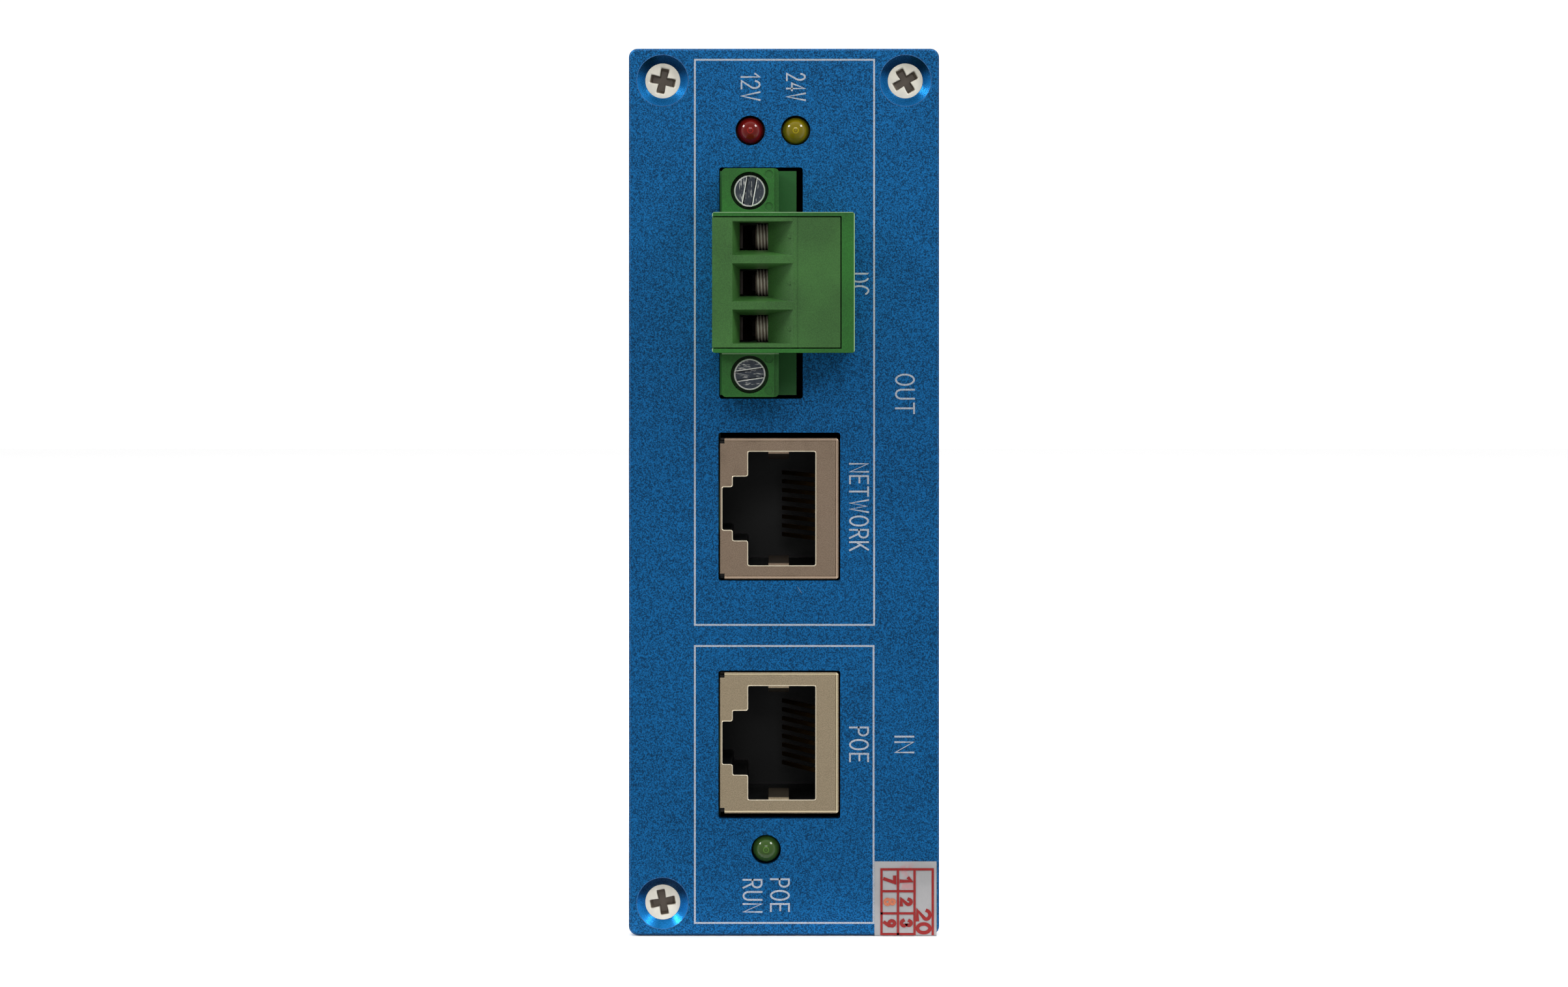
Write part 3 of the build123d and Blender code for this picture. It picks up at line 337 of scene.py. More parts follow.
def written(word, across, start, end, cap):
    """A word's strokes, read downwards as the panel has it: letters stand to the right, and run
    from start to end."""
    widths = [stroke_letters[letter][0] for letter in word]
    gap = letter_gap * (len(word) - 1)
    pace = (start - end) / (sum(widths) + gap)
    strokes, at = [], 0.0
    for letter, width in zip(word, widths):
        for stroke in stroke_letters[letter][1]:
            east = across + (stroke[:, 1] - 0.5) * cap
            strokes.append(np.stack([east, start - (at + stroke[:, 0]) * pace], 1))
        at += width + letter_gap
    return strokes


def ribbon(line, width, closed=False):
    """Flat band about a line: each point steps half the width to both sides, along the mean of its
    neighbours' normals, and further by 1 over the cosine of half the turn, up to 1.6 times."""
    line = np.array(line[:-1] if closed else line, float)
    ahead = np.roll(line, -1, 0) - line
    behind = line - np.roll(line, 1, 0)
    if not closed:
        ahead[-1], behind[0] = behind[-1], ahead[0]
    ahead /= np.linalg.norm(ahead, axis=1)[:, None]
    behind /= np.linalg.norm(behind, axis=1)[:, None]
    if not closed:
        line[0] -= ahead[0] * width / 2
        line[-1] += behind[-1] * width / 2
    mean = ahead + behind
    size = np.linalg.norm(mean, axis=1)[:, None]
    reach = np.minimum(2 / np.maximum(size, 1e-6), 1.6)
    step = mean / np.maximum(size, 1e-6) * reach * width / 2
    aside = np.stack([-step[:, 1], step[:, 0]], 1)
    return np.stack([line + aside, line - aside])


def lattice(rows, columns, columns_meet=False, rows_meet=False):
    """Quads over a grid of points, row by row. Its last column or row may meet the first again."""
    index = np.arange(rows * columns).reshape(rows, columns)
    if columns_meet:
        index = np.concatenate([index, index[:, :1]], 1)
    if rows_meet:
        index = np.concatenate([index, index[:1]])
    quads = np.stack([index[:-1, :-1], index[:-1, 1:], index[1:, 1:], index[1:, :-1]], -1)
    return quads.reshape(-1, 4)


def mesh_object(name, points, faces, finish, smooth=None, closed=False):
    """A new object from points in metres and faces. Smooth is the angle up to which edges are
    shaded round, and closed turns every face of a closed skin outwards."""
    shape = bpy.data.meshes.new(name)
    shape.from_pydata(np.asarray(points, float).tolist(), [], np.asarray(faces).tolist())
    if closed:
        skin = bmesh.new()
        skin.from_mesh(shape)
        bmesh.ops.remove_doubles(skin, verts=skin.verts, dist=1e-8)
        bmesh.ops.recalc_face_normals(skin, faces=skin.faces)
        skin.to_mesh(shape)
        skin.free()
    if smooth is not None:
        shape.shade_smooth()
        shape.set_sharp_from_angle(angle=math.radians(smooth))
    shape.materials.append(finish)
    made = bpy.data.objects.new(name, shape)
    bpy.context.scene.collection.objects.link(made)
    return made


def skin_piece(name, points, faces, finish, smooth=None, body="module"):
    """A new piece of the part: a closed skin that rides on its body."""
    piece = mesh_object(name, points, faces, finish, smooth, closed=True)
    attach(piece, body)
    return piece


def print_on(name, strokes, width, face, finish):
    """Ink on a face that looks to the front: flat bands with a skirt down to the face, as one
    piece. Each band stands a step prouder than the one before, six in turn, so no two share a
    face."""
    points, faces, count = [], [], 0
    for number, stroke in enumerate(strokes):
        closed = np.allclose(stroke[0], stroke[-1])
        edges = ribbon(stroke, width, closed)
        around = edges.shape[1]
        across, up = edges[..., 0].ravel() * mm, edges[..., 1].ravel() * mm + rise
        proud = face - ink_height * (1 + ink_step * (number % ink_steps))
        top = np.stack([across, np.full_like(across, proud), up], 1)
        foot = np.stack([across, np.full_like(across, face), up], 1)
        points.append(np.concatenate([top, foot]))
        quads = lattice(2, around, closed)
        below = 2 * around
        left, right = quads[:, :2], quads[:, 2:]
        skirts = [np.concatenate([edge[:, ::-1], edge + below], 1) for edge in (left, right)]
        faces.append(np.concatenate([quads, quads[:, ::-1] + below, *skirts]) + count)
        if not closed:
            ends = np.array([[0, around], [2 * around - 1, around - 1]])
            faces.append(np.concatenate([ends, ends[:, ::-1] + below], 1) + count)
        count += 2 * below
    return skin_piece(name, np.concatenate(points), np.concatenate(faces), finish)


def ink(name, base):
    """Screen ink: matt, a little thin where the mesh of the screen let less through."""
    recipe = Recipe(name, {"Roughness": 0.6})
    cover = recipe.grain(0.12 * mm, 2.0).ramp(0.25, 0.6)
    recipe.feed("Base Color", recipe.mixed(cover, shaded(base, 0.55), base))
    return recipe.material


pale_ink = ink("pale_ink", colour(184, 192, 204))
frame_strokes = [
    np.array([(left, top), (right, top), (right, low), (left, low), (left, top)])
    for left, top, right, low in printed_frames
]
print_on("printed_frames", frame_strokes, frame_line, panel_face, pale_ink)
word_strokes = [
    stroke for word, across, start, end in printed_words
    for stroke in written(word, across, start, end, cap_height)
]
print_on("printed_words", word_strokes, word_line, panel_face, pale_ink)

# Corner screws: nickel-plated countersunk screws with a pressed cross, in the countersinks of both
# panels. Their heads sit below the face, and their threads run in the case's screw channels.
head_radius = 1.975
shank_radius = 1.15
shank_end = 9.0
cross_reach = 1.52
cross_half_width = 0.43
cross_depth = 0.75
cross_slope = 0.4
cross_wall = 0.12
cross_spread = 0.06


def grid_piece(name, points, finish, smooth):
    """A piece whose skin is a grid: columns run round, and its first and last rows are poles."""
    quads = lattice(*points.shape[:2], columns_meet=True)
    return skin_piece(name, points.reshape(-1, 3), quads, finish, smooth)


def revolved(ring, drop, steps):
    """A profile of radius r and drop turned about Y: r cos t across, r sin t up, and the drop."""
    turns = np.linspace(0, 2 * np.pi, steps, endpoint=False)
    east, up = ring[:, None] * np.cos(turns), ring[:, None] * np.sin(turns)
    return east, up, np.repeat(drop[:, None], steps, 1)


def swung(east, down, up, angle):
    """Points turned about Y by an angle in degrees, as one array."""
    cos, sin = math.cos(math.radians(angle)), math.sin(math.radians(angle))
    return np.stack([east * cos - up * sin, down, east * sin + up * cos], -1)


def cross_recess(east, up):
    """Depth of a pressed cross, in mm: two bars at right angles, each as deep as its floor slopes
    down from its end to the middle, with leaning walls that spread towards the ends."""
    def bar(along, aside):
        floor = np.clip((cross_reach - np.abs(along)) / cross_slope, 0, 1)
        half = cross_half_width + cross_spread * np.abs(along)
        wall = np.clip((half - np.abs(aside)) / cross_wall, 0, 1)
        return floor * wall * wall * (3 - 2 * wall)
    return cross_depth * np.maximum(bar(east, up), bar(up, east))


def countersunk(turn):
    """Skin of a countersunk screw, in mm, its top at 0: rows run from the middle of the slightly
    domed top over the rim, down the cone and shank to the end, less the cross on the top."""
    top = np.linspace(0, head_radius - 0.05, 46)
    cone = head_radius - 0.08 - shank_radius
    ring = np.concatenate([top, [head_radius, head_radius, shank_radius, shank_radius, 0]])
    dome = 0.03 * (top / head_radius) ** 2
    drop = np.concatenate([dome, [0.03, 0.1, 0.1 + cone, shank_end, shank_end]])
    east, up, down = revolved(ring, drop, 120)
    down[: len(top)] += cross_recess(east[: len(top)], up[: len(top)])
    return swung(east, down, up, turn)


def plated(name, base, roughness, soil=None, soil_and_shade_below=0.0, metal=1.0):
    """Nickel plate: fine rubbing marks, cloudy gloss, and a soil colour below a level along Y,
    which stands for dirt and painted shade in the hollows that lie deeper.
    """
    recipe = Recipe(name, {"Metallic": metal})
    rub = recipe.grain(0.05 * mm, 2.0, (1.0, 1.0, 5.0))
    cloud = recipe.grain(0.9 * mm, 3.0).ramp(0.35, 0.7)
    tone = recipe.mixed(cloud * 0.5, base, shaded(base, 0.82))
    if soil:
        soil_and_shade_mask = recipe.axis("Y").ramp(soil_and_shade_below, soil_and_shade_below + 0.22 * mm)
        tone = recipe.mixed(soil_and_shade_mask * 0.9, tone, soil)
        recipe.feed("Metallic", metal - soil_and_shade_mask * (0.65 * metal))
    recipe.feed("Base Color", tone)
    recipe.feed("Roughness", roughness + 0.1 * cloud + 0.06 * rub)
    recipe.dent(rub, 0.002 * mm, 0.4, 0.06 * mm)
    return recipe.material


front_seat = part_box("front_screws")[0].y
rear_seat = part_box("rear_screws")[1].y
# The front screws darken below this level, in their crosses and round their heads: dark brown dirt
# and painted shade
soil_and_shade_level = front_seat + 0.1 * mm
front_nickel = plated(
    "front_screw_nickel", colour(250, 244, 228), 0.3, colour(70, 52, 36), soil_and_shade_level, 0.15
)
rear_nickel = plated("rear_screw_nickel", colour(225, 216, 196), 0.22)
corners = [(x * screw_across, y * screw_up) for y in (1, -1) for x in (-1, 1)]
for end, seat, inward, nickel, turns in (
    ("front", front_seat, 1, front_nickel, (-12, 30, 10, 0)),
    ("rear", rear_seat, -1, rear_nickel, (20, -35, 5, 40)),
):
    for side, (across, up), turn in zip("abcd", corners, turns):
        skin = countersunk(turn) * (mm, inward * mm, mm)
        skin += (across * mm, seat, up * mm + rise)
        piece = grid_piece(f"{end}_screw_{side}", skin, nickel, smooth=38)
        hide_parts(f"{end}_screws")

# Case: one length of extruded aluminium, grooved along its sides, clear anodised with the drawing
# lines of the die still in it. The rear panel closes it, of the same blue plate as the front.


def drawn_metal(name, base):
    """Extruded aluminium: die lines along Y in two widths, under a thin clear layer."""
    recipe = Recipe(name, {"Metallic": 0.9})
    lines = recipe.grain(0.25 * mm, 3.0, (1.0, 0.01, 1.0))
    wide = recipe.grain(1.6 * mm, 2.0, (1.0, 0.02, 1.0)).ramp(0.3, 0.7)
    tone = recipe.mixed(0.6 * lines + 0.4 * wide, shaded(base, 0.84), shaded(base, 1.06))
    recipe.feed("Base Color", tone)
    recipe.feed("Roughness", 0.36 + 0.14 * wide)
    recipe.dent(lines, 0.01 * mm, 0.5)
    return recipe.material


dress(drawn_metal("drawn_aluminium", colour(168, 170, 173)), "case_extrusion")
dress(anodised("blue_anodising_rear", colour(*anodised_blue), grain_size), "rear_panel")

# Rail clip: a base plate and a sprung latch of glass-filled black nylon, with four screws into the
# rear panel. The coil spring pushes the latch's hook up behind the rail's lower edge.
wire_radius = 0.2 * mm
coil_turns = 6
coil_samples = 34
closed_turn = 0.8
# Colour of the painted highlight along moulded edges
edge_highlight_colour = (165, 200, 155)


def moulded(
    name, base, roughness, spark=1.08, ripple=0.006 * mm, fleck=0.22 * mm, edge=0.0, lit_edges=None
):
    """Moulded plastic: an eroded texture in fine bumps, slight clouds of colour and gloss. A
    painted highlight lightens a thin band along the sides of the given rectangle: its left, right,
    low and high in metres."""
    recipe = Recipe(name, {"Specular IOR Level": 0.35})
    skin = recipe.grain(fleck, 3.0)
    cloud = recipe.grain(7 * mm, 2.0).ramp(0.3, 0.7)
    tone = recipe.mixed(0.75 * skin + 0.25 * cloud, shaded(base, 2 - spark), shaded(base, spark))
    if lit_edges:
        left, right, low, high = lit_edges
        lit_sides = []
        for axis, start, end in (("X", left, right), ("Z", low, high)):
            off, half = abs(recipe.axis(axis) - (start + end) / 2), (end - start) / 2
            lit_sides.append(off.band(
                half - 0.13 * mm, half - 0.08 * mm, half + 0.01 * mm, half + 0.03 * mm
            ))
        # Painted highlight along the rectangle's edges
        tone = recipe.mixed(lit_sides[0].higher(lit_sides[1]) * 0.7, tone, colour(*edge_highlight_colour))
    recipe.feed("Base Color", tone)
    recipe.feed("Roughness", roughness - 0.08 * cloud + 0.1 * skin)
    recipe.dent(skin, ripple, 1.0, edge)
    return recipe.material


black_nylon = moulded("black_nylon", colour(30, 31, 33), 0.5, 1.3, 0.012 * mm, 0.3 * mm)
dress(black_nylon, "clip_base", "clip_latch")

coil_low, coil_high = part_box("clip_spring")
coil_middle = (coil_low + coil_high) / 2
coil_radius = (coil_high.x - coil_low.x) / 2 - wire_radius


def coil_skin():
    """Skin of the spring: a tube of the wire's radius about the helix (R cos t, R sin t, height),
    whose height is nearly flat over the first and last turn, as a closed end is, and even
    between."""
    wound = np.linspace(0, 1, coil_turns * coil_samples) * coil_turns
    angle = wound * 2 * np.pi
    low, high = coil_low.z + wire_radius, coil_high.z - wire_radius
    seat = 2.1 * wire_radius
    first = np.minimum(wound, closed_turn) / closed_turn
    last = np.clip(wound - coil_turns + closed_turn, 0, 1) / closed_turn
    between = np.clip((wound - closed_turn) / (coil_turns - 2 * closed_turn), 0, 1)
    height = low + (first + last) * seat + between * (high - low - 2 * seat)
    outward = np.stack([np.cos(angle), np.sin(angle), np.zeros_like(angle)], 1)
    middle = coil_radius * outward + np.array([coil_middle.x, coil_middle.y, 0])
    middle[:, 2] = height
    ahead = np.gradient(middle, axis=0)
    ahead /= np.linalg.norm(ahead, axis=1)[:, None]
    upward = np.cross(ahead, outward)
    around = np.linspace(0, 2 * np.pi, 12, endpoint=False)[None, :, None]
    tube = middle[:, None] + wire_radius * (
        np.cos(around) * outward[:, None] + np.sin(around) * upward[:, None]
    )
    ends = [np.repeat(middle[i][None], 12, 0)[None] for i in (0, -1)]
    return np.concatenate([ends[0], tube, ends[1]])


spring_steel = plated("spring_wire", colour(190, 190, 188), 0.25)
coil = grid_piece("clip_coil", coil_skin(), spring_steel, smooth=50)
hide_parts("clip_spring")
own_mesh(coil)

dress(plated("clip_screw_nickel", colour(225, 216, 196), 0.24), "clip_screws")

# Circuit board: glass-epoxy board in the case's card guides, with the converter's parts soldered on
# its component side. The case hides it, so these finishes stay simple.
solder_mask = moulded("solder_mask", colour(10, 50, 26), 0.3, 1.2, 0.004 * mm, 0.5 * mm)
package_plastic = moulded("package_plastic", colour(34, 34, 36), 0.55, 1.2)
sleeve = moulded("can_sleeve", colour(30, 32, 52), 0.35, 1.15)
ferrite = moulded("ferrite_grey", colour(60, 60, 62), 0.6, 1.3, 0.01 * mm, 0.35 * mm)
tape = moulded("winding_tape", colour(206, 170, 60), 0.4, 1.1)
bobbin = moulded("bobbin_plastic", colour(38, 38, 40), 0.5, 1.1)
disc = moulded("disc_epoxy", colour(36, 92, 168), 0.35, 1.12)
tin = plated("tin_plate", colour(205, 205, 203), 0.32)
dress(solder_mask, "circuit_board")
dress(
    package_plastic, "network_magnetics", "poe_magnetics", "bridge_rectifier_1",
    "bridge_rectifier_2", "pd_controller", "converter_controller", "power_mosfet", "output_diode",
    "optocoupler",
)
dress(sleeve, "input_capacitor", "output_capacitor_1", "output_capacitor_2")
dress(ferrite, "transformer_core", "output_choke")
dress(bobbin, "transformer_bobbin")
dress(tape, "transformer_winding")
dress(disc, "safety_capacitor")
dress(tin, "header_pins", "led_leads")

# Network jacks: a shield folded from nickel-plated brass sheet, a black insulator moulded to the
# plug's stepped outline, and eight gold-plated spring contacts. Both stand on the board.
jack_ups = {"network": -1.88, "poe": -28.3}
shield_half = 7.935
shield_edge = 0.27
# Depths behind the shield's front over which the painted shade sets in
inner_shade_start = 0.12 * mm
inner_shade_full = 0.3 * mm
mouth_right = 3.59
# Where each step of the mouth ends at its left, and half its height
mouth_steps = ((-4.1, 6.46), (-5.83, 3.66), (-7.0, 2.455))
mouth_corner = 0.25
rim_radius = 0.06


def shield_plate(name, base, up, right, front):
    """Satin nickel sheet: rolling lines and stains that gather in clouds, with a painted highlight
    on the folded edges, which lie within the sheet's thickness of the outline. Behind its front the
    sheet is darkened nearly to black as painted shade."""
    recipe = Recipe(name, {})
    rolled = recipe.grain(0.07 * mm, 3.0, (0.12, 1.0, 1.0))
    stain = recipe.grain(2.2 * mm, 4.0).ramp(0.42, 0.72)
    off = abs(recipe.axis("Z") - up)
    inner = (shield_half - shield_edge) * mm
    fold_highlight = off.band(inner, inner + 0.03 * mm, inner + 0.1 * mm, inner + 0.14 * mm)
    from_right, edge = right - recipe.axis("X"), shield_edge * mm
    right_fold_highlight = from_right.band(edge - 0.14 * mm, edge - 0.1 * mm, edge - 0.03 * mm, edge)
    fold_highlight = fold_highlight.higher(right_fold_highlight)
    speck = recipe.grain(0.12 * mm, 2.0).ramp(0.35, 0.65)
    share = 0.3 * rolled + 0.25 * stain + 0.4 * speck
    tone = recipe.mixed(share, shaded(base, 1.3), shaded(base, 0.6))
    # Painted highlight on the folded edges
    tone = recipe.mixed(fold_highlight * 0.9, tone, shaded(base, 2.2))
    # Painted shade behind the front of the shield
    inner_shade = recipe.axis("Y").ramp(front + inner_shade_start, front + inner_shade_full)
    recipe.feed("Base Color", recipe.mixed(inner_shade * 0.94, tone, colour(20, 17, 15)))
    recipe.feed("Metallic", 0.92 - 0.6 * inner_shade - 0.55 * fold_highlight)
    recipe.feed("Roughness", 0.36 + 0.12 * stain + 0.06 * rolled)
    recipe.dent(rolled, 0.002 * mm, 0.35, 0.07 * mm)
    return recipe.material


def rounded(corners, radius):
    """A closed outline with its corners rounded: from A to B about the corner P, at the radius
    before and after it, each arc is (1 - t)^2 A + 2 t (1 - t) P + t^2 B."""
    corners = np.asarray(corners, float)
    back = np.roll(corners, 1, 0) - corners
    ahead = np.roll(corners, -1, 0) - corners
    start = corners + back / np.linalg.norm(back, axis=1)[:, None] * radius
    end = corners + ahead / np.linalg.norm(ahead, axis=1)[:, None] * radius
    t = np.linspace(0, 1, 6)[None, :, None]
    arcs = (1 - t) ** 2 * start[:, None] + 2 * t * (1 - t) * corners[:, None] + t**2 * end[:, None]
    return arcs.reshape(-1, 2)


def mouth_outline(up):
    """The mouth of a jack at this height, in mm, stepped at its left and with rounded corners."""
    lower, right = [], mouth_right
    for left, half in mouth_steps:
        lower += [(right, -half), (left, -half)]
        right = left
    upper = [(x, -z) for x, z in lower[::-1]]
    return rounded([(x, z + up) for x, z in upper[-1:] + lower + upper[:-1]], mouth_corner)


def rim_bead(name, outline, radius, face, finish):
    """Half-round burr along a closed outline on a face: r cos a to the side, r sin a proud."""
    line = np.concatenate([outline, outline[:1]])
    left, right = ribbon(line, 2 * radius, closed=True)
    middle, aside = (left + right) / 2, (left - right) / 2
    angle = np.linspace(0, np.pi, 8)[:, None]
    flat = middle[None] + np.cos(angle)[..., None] * aside[None]
    proud = np.repeat(-radius * np.sin(angle), len(middle), 1) * mm + face
    points = np.stack([flat[..., 0] * mm, proud, flat[..., 1] * mm + rise], -1)
    quads = lattice(*points.shape[:2], columns_meet=True, rows_meet=True)
    return skin_piece(name, points.reshape(-1, 3), quads, finish, smooth=60)


black_insulator = moulded("black_insulator", colour(8, 8, 9), 0.42, 1.25)
gold = plated("contact_gold", colour(112, 84, 46), 0.4)
# The lower PoE shield gets a paler base than the network shield, as painted light: the same nickel
# lay in brighter light there
shield_bases_with_painted_light = {"network": colour(157, 137, 118), "poe": colour(186, 169, 141)}
rim_metal = plated("mouth_rim_nickel", colour(238, 226, 200), 0.3, metal=0.7)
for jack, up in jack_ups.items():
    shield_low, shield_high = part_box(f"{jack}_jack_shield")
    plate = shield_plate(
        f"{jack}_shield_nickel", shield_bases_with_painted_light[jack], up * mm + rise, shield_high.x, shield_low.y
    )
    dress(plate, f"{jack}_jack_shield")
    outline = mouth_outline(up)
    rim_bead(f"{jack}_mouth_rim", outline, rim_radius, panel_face, rim_metal)
dress(black_insulator, "network_jack_housing", "poe_jack_housing")
dress(gold, "network_jack_contacts", "poe_jack_contacts")

# Terminal header: moulded green box on the board, with three tinned pins and two brass inserts that
# take the plug's flange screws.
header_green = moulded(
    "header_green", colour(28, 91, 35), 0.45, 1.3, 0.005 * mm, 0.12 * mm, edge=0.06 * mm
)
dress(header_green, "terminal_header")
dress(plated("insert_brass", colour(196, 160, 96), 0.28), "header_inserts")

# Terminal plug: green housing, closed by a snap-in cover with a funnel for each wire. In each
# chamber a nickel-plated cage is drawn up by a screw whose threaded end shows in the wire hole.
plug_up = 29.55
# Heights from the plug's middle, in mm, of its lower and upper edges, which get a painted highlight
lit_edge_low = -7.9
lit_edge_high = 7.77
pole_spread = 5.08
thread_pitch = 0.36
thread_depth = 0.17
thread_flat = 0.12
thread_radius = 1.5
clamp_head_radius = 1.9
clamp_head_height = 1.6
clamp_slot_half = 0.35
clamp_slot_depth = 0.7

plug_low, plug_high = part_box("plug_housing")
# The plug housing's outline, along which the painted highlight runs
plug_lit_edges = (plug_low.x, plug_high.x, (plug_up + lit_edge_low) * mm, (plug_up + lit_edge_high) * mm)
plug_texture = (1.7, 0.006 * mm, 0.12 * mm, 0.06 * mm)
plug_green = moulded("plug_green", colour(38, 101, 35), 0.36, *plug_texture, plug_lit_edges)
cover_green = moulded("cover_green", colour(57, 102, 47), 0.4, *plug_texture)
dress(plug_green, "plug_housing")
dress(cover_green, "plug_cover")
# The cages and the contacts are given near-black colours as painted shade, for the hollows of the
# wire chambers
cage_plate = plated("cage_nickel", colour(36, 30, 26), 0.55, metal=0.4)
dress(cage_plate, "clamp_cage_1", "clamp_cage_2", "clamp_cage_3")
dress(plated("contact_bronze", colour(36, 28, 22), 0.5, metal=0.5), "plug_contacts")


def slot_recess(aside, half_width, depth, lean=0.06):
    """Depth of a sawn slot, in mm: full within its half width, with walls that lean a little."""
    return depth * np.clip((half_width + lean - np.abs(aside)) / lean, 0, 1)


def clamp_screw(tip, head_low, head_high):
    """Skin of a clamp screw lying along X, in mm. Its radius in the thread is R less the depth
    times a wave that turns once a pitch: 0 on the crest's flat and 1 on the root's. The head is
    plain, with a slot."""
    turns = np.linspace(0, 2 * np.pi, 60, endpoint=False)
    run = np.linspace(tip, head_low, int((head_low - tip) / thread_pitch * 12))
    phase = (run[:, None] / thread_pitch - turns / (2 * np.pi)) % 1.0
    wave = np.clip(np.abs(phase - 0.5) * 2, thread_flat, 1 - thread_flat)
    groove = (wave - thread_flat) / (1 - 2 * thread_flat)
    start = np.clip((run - tip) / 0.15, 0.9, 1)[:, None]
    thread = thread_radius * start - thread_depth * groove
    top = np.linspace(clamp_head_radius - 0.06, 0, 26)
    rim = np.array([clamp_head_radius, clamp_head_radius])
    radius = np.concatenate([
        np.zeros((1, len(turns))), thread, np.repeat(rim[:, None], len(turns), 1),
        np.repeat(top[:, None], len(turns), 1),
    ])
    along = np.concatenate([[tip], run, [head_low, head_high - 0.1], np.full(len(top), head_high)])
    along = np.repeat(along[:, None], len(turns), 1)
    side, up = radius * np.cos(turns), radius * np.sin(turns)
    crown = slice(-len(top), None)
    along[crown] -= slot_recess(side[crown], clamp_slot_half, clamp_slot_depth)
    return np.stack([along, side, up], -1)


clamp_low, clamp_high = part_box("clamp_screws")
clamp_across = (clamp_low.y + clamp_high.y) / 2


def thread_plate(name, base, middle):
    """Yellow-passivated steel: bright on the crests of a thread along X, and darkened to brown as
    painted shade where it lies deeper than a tenth of a millimetre below them, by the distance
    from the thread's axis."""
    recipe = Recipe(name, {"Metallic": 0.1})
    beside = recipe.axis("Y") - middle.y
    above = recipe.axis("Z") - middle.z
    away = ((beside * beside + above * above) ** 0.5) * (1 / mm)
    root_shade = away.ramp(thread_radius - 0.04, thread_radius - 0.14)
    rub = recipe.grain(0.2 * mm, 3.0, (1.0, 1.0, 0.3)).ramp(0.3, 0.7)
    tone = recipe.mixed(rub * 0.5, base, shaded(base, 0.6))
    # Painted shade in the thread's roots
    recipe.feed("Base Color", recipe.mixed(root_shade * 0.85, tone, colour(100, 80, 62)))
    recipe.feed("Roughness", 0.26 + 0.2 * root_shade)
    return recipe.material


clamp_head_low = clamp_high.x / mm - clamp_head_height
for number in (1, 2, 3):
    skin = clamp_screw(clamp_low.x / mm, clamp_head_low, clamp_high.x / mm) * mm
    clamp_middle = Vector((0, clamp_across, (plug_up + (number - 2) * pole_spread) * mm))
    skin += tuple(clamp_middle)
    clamp_steel = thread_plate(f"clamp_screw_plate_{number}", colour(255, 248, 228), clamp_middle)
    piece = grid_piece(f"clamp_screw_{number}", skin, clamp_steel, smooth=40)
    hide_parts("clamp_screws")

flange_across = -3.8
flange_spread = 10.16
flange_radius = 1.75
flange_round = 0.12
flange_head_height = 2.0
flange_shank_radius = 1.2
flange_slot_half = 0.45
flange_slot_depth = 0.7


def flange_screw(turn, length):
    """Skin of a slotted cheese-head screw, in mm, its top at 0: rows run from the middle of the top
    over a rounded rim, down the head and the shank to its end."""
    top = np.linspace(0, flange_radius - flange_round, 40)
    arc = np.radians(np.linspace(0, 90, 5))
    rim = flange_radius - flange_round + flange_round * np.sin(arc)
    fall = flange_round - flange_round * np.cos(arc)
    shank = [flange_radius, flange_shank_radius, flange_shank_radius, 0]
    ring = np.concatenate([top, rim[1:], shank])
    low = [flange_head_height, flange_head_height, length, length]
    east, up, down = revolved(ring, np.concatenate([0 * top, fall[1:], low]), 96)
    crown = slice(0, len(top) + 3)
    cut = slot_recess(east[crown], flange_slot_half, flange_slot_depth)
    down[crown] = np.maximum(down[crown], cut)
    return swung(east, down, up, -turn)


def blued_steel(name, base, middle, turn):
    """Dark zinc-plated steel with streaks, with a painted highlight in a ring at the head's rim,
    and rubbed bare with a painted highlight along both edges of the slot, which are lines at its
    half width from the middle."""
    recipe = Recipe(name, {"Metallic": 1.0})
    across, up = recipe.axis("X") - middle.x, recipe.axis("Z") - middle.z
    cos, sin = math.cos(math.radians(turn)), math.sin(math.radians(turn))
    aside = abs(across * cos - up * sin) * (1 / mm)
    away = ((across * across + up * up) ** 0.5) * (1 / mm)
    wander = recipe.grain(0.5 * mm, 2.0) * 0.08
    # Painted highlight in a ring at the head's rim; the slot's edges are worn bare and lit by a
    # painted highlight too
    rim = away.ramp(flange_radius - 0.2, flange_radius - 0.12)
    slot_edge_wear_and_highlight = (aside - flange_slot_half - wander).band(0.02, 0.05, 0.12, 0.16)
    along = (1.0, 1.0, 0.2) if cos > 0.7 else (0.2, 1.0, 1.0)
    streak = recipe.grain(0.16 * mm, 3.0, along).ramp(0.56, 0.7)
    bare_and_highlight = rim.higher(slot_edge_wear_and_highlight).higher(streak * 0.6)
    cloud = recipe.grain(0.6 * mm, 2.0).ramp(0.3, 0.7)
    tone = recipe.mixed(cloud * 0.6, base, shaded(base, 0.7))
    recipe.feed("Base Color", recipe.mixed(bare_and_highlight * 0.9, tone, colour(252, 252, 246)))
    recipe.feed("Roughness", 0.34 - 0.08 * bare_and_highlight + 0.08 * cloud)
    recipe.feed("Metallic", 1.0 - 0.85 * bare_and_highlight)
    recipe.dent(streak, 0.004 * mm, 0.5)
    return recipe.material


flange_low, flange_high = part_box("flange_screws")
for side, up, turn in (("upper", flange_spread, 10), ("lower", -flange_spread, 82)):
    skin = flange_screw(turn, (flange_high.y - flange_low.y) / mm) * mm
    flange_top = Vector((flange_across * mm, flange_low.y, (plug_up + up) * mm))
    skin += tuple(flange_top)
    flange_steel = blued_steel(f"flange_screw_steel_{side}", colour(76, 82, 90), flange_top, turn)
    piece = grid_piece(f"flange_screw_{side}", skin, flange_steel, smooth=40)
    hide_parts("flange_screws")

# Indicator lights: 3 mm lamps cast in tinted epoxy, standing just proud of their holes, unlit. The
# die cup shows through the tip as a small ring.
lamp_radius = 1.54 * mm
lamp_brim = 1.0 * mm


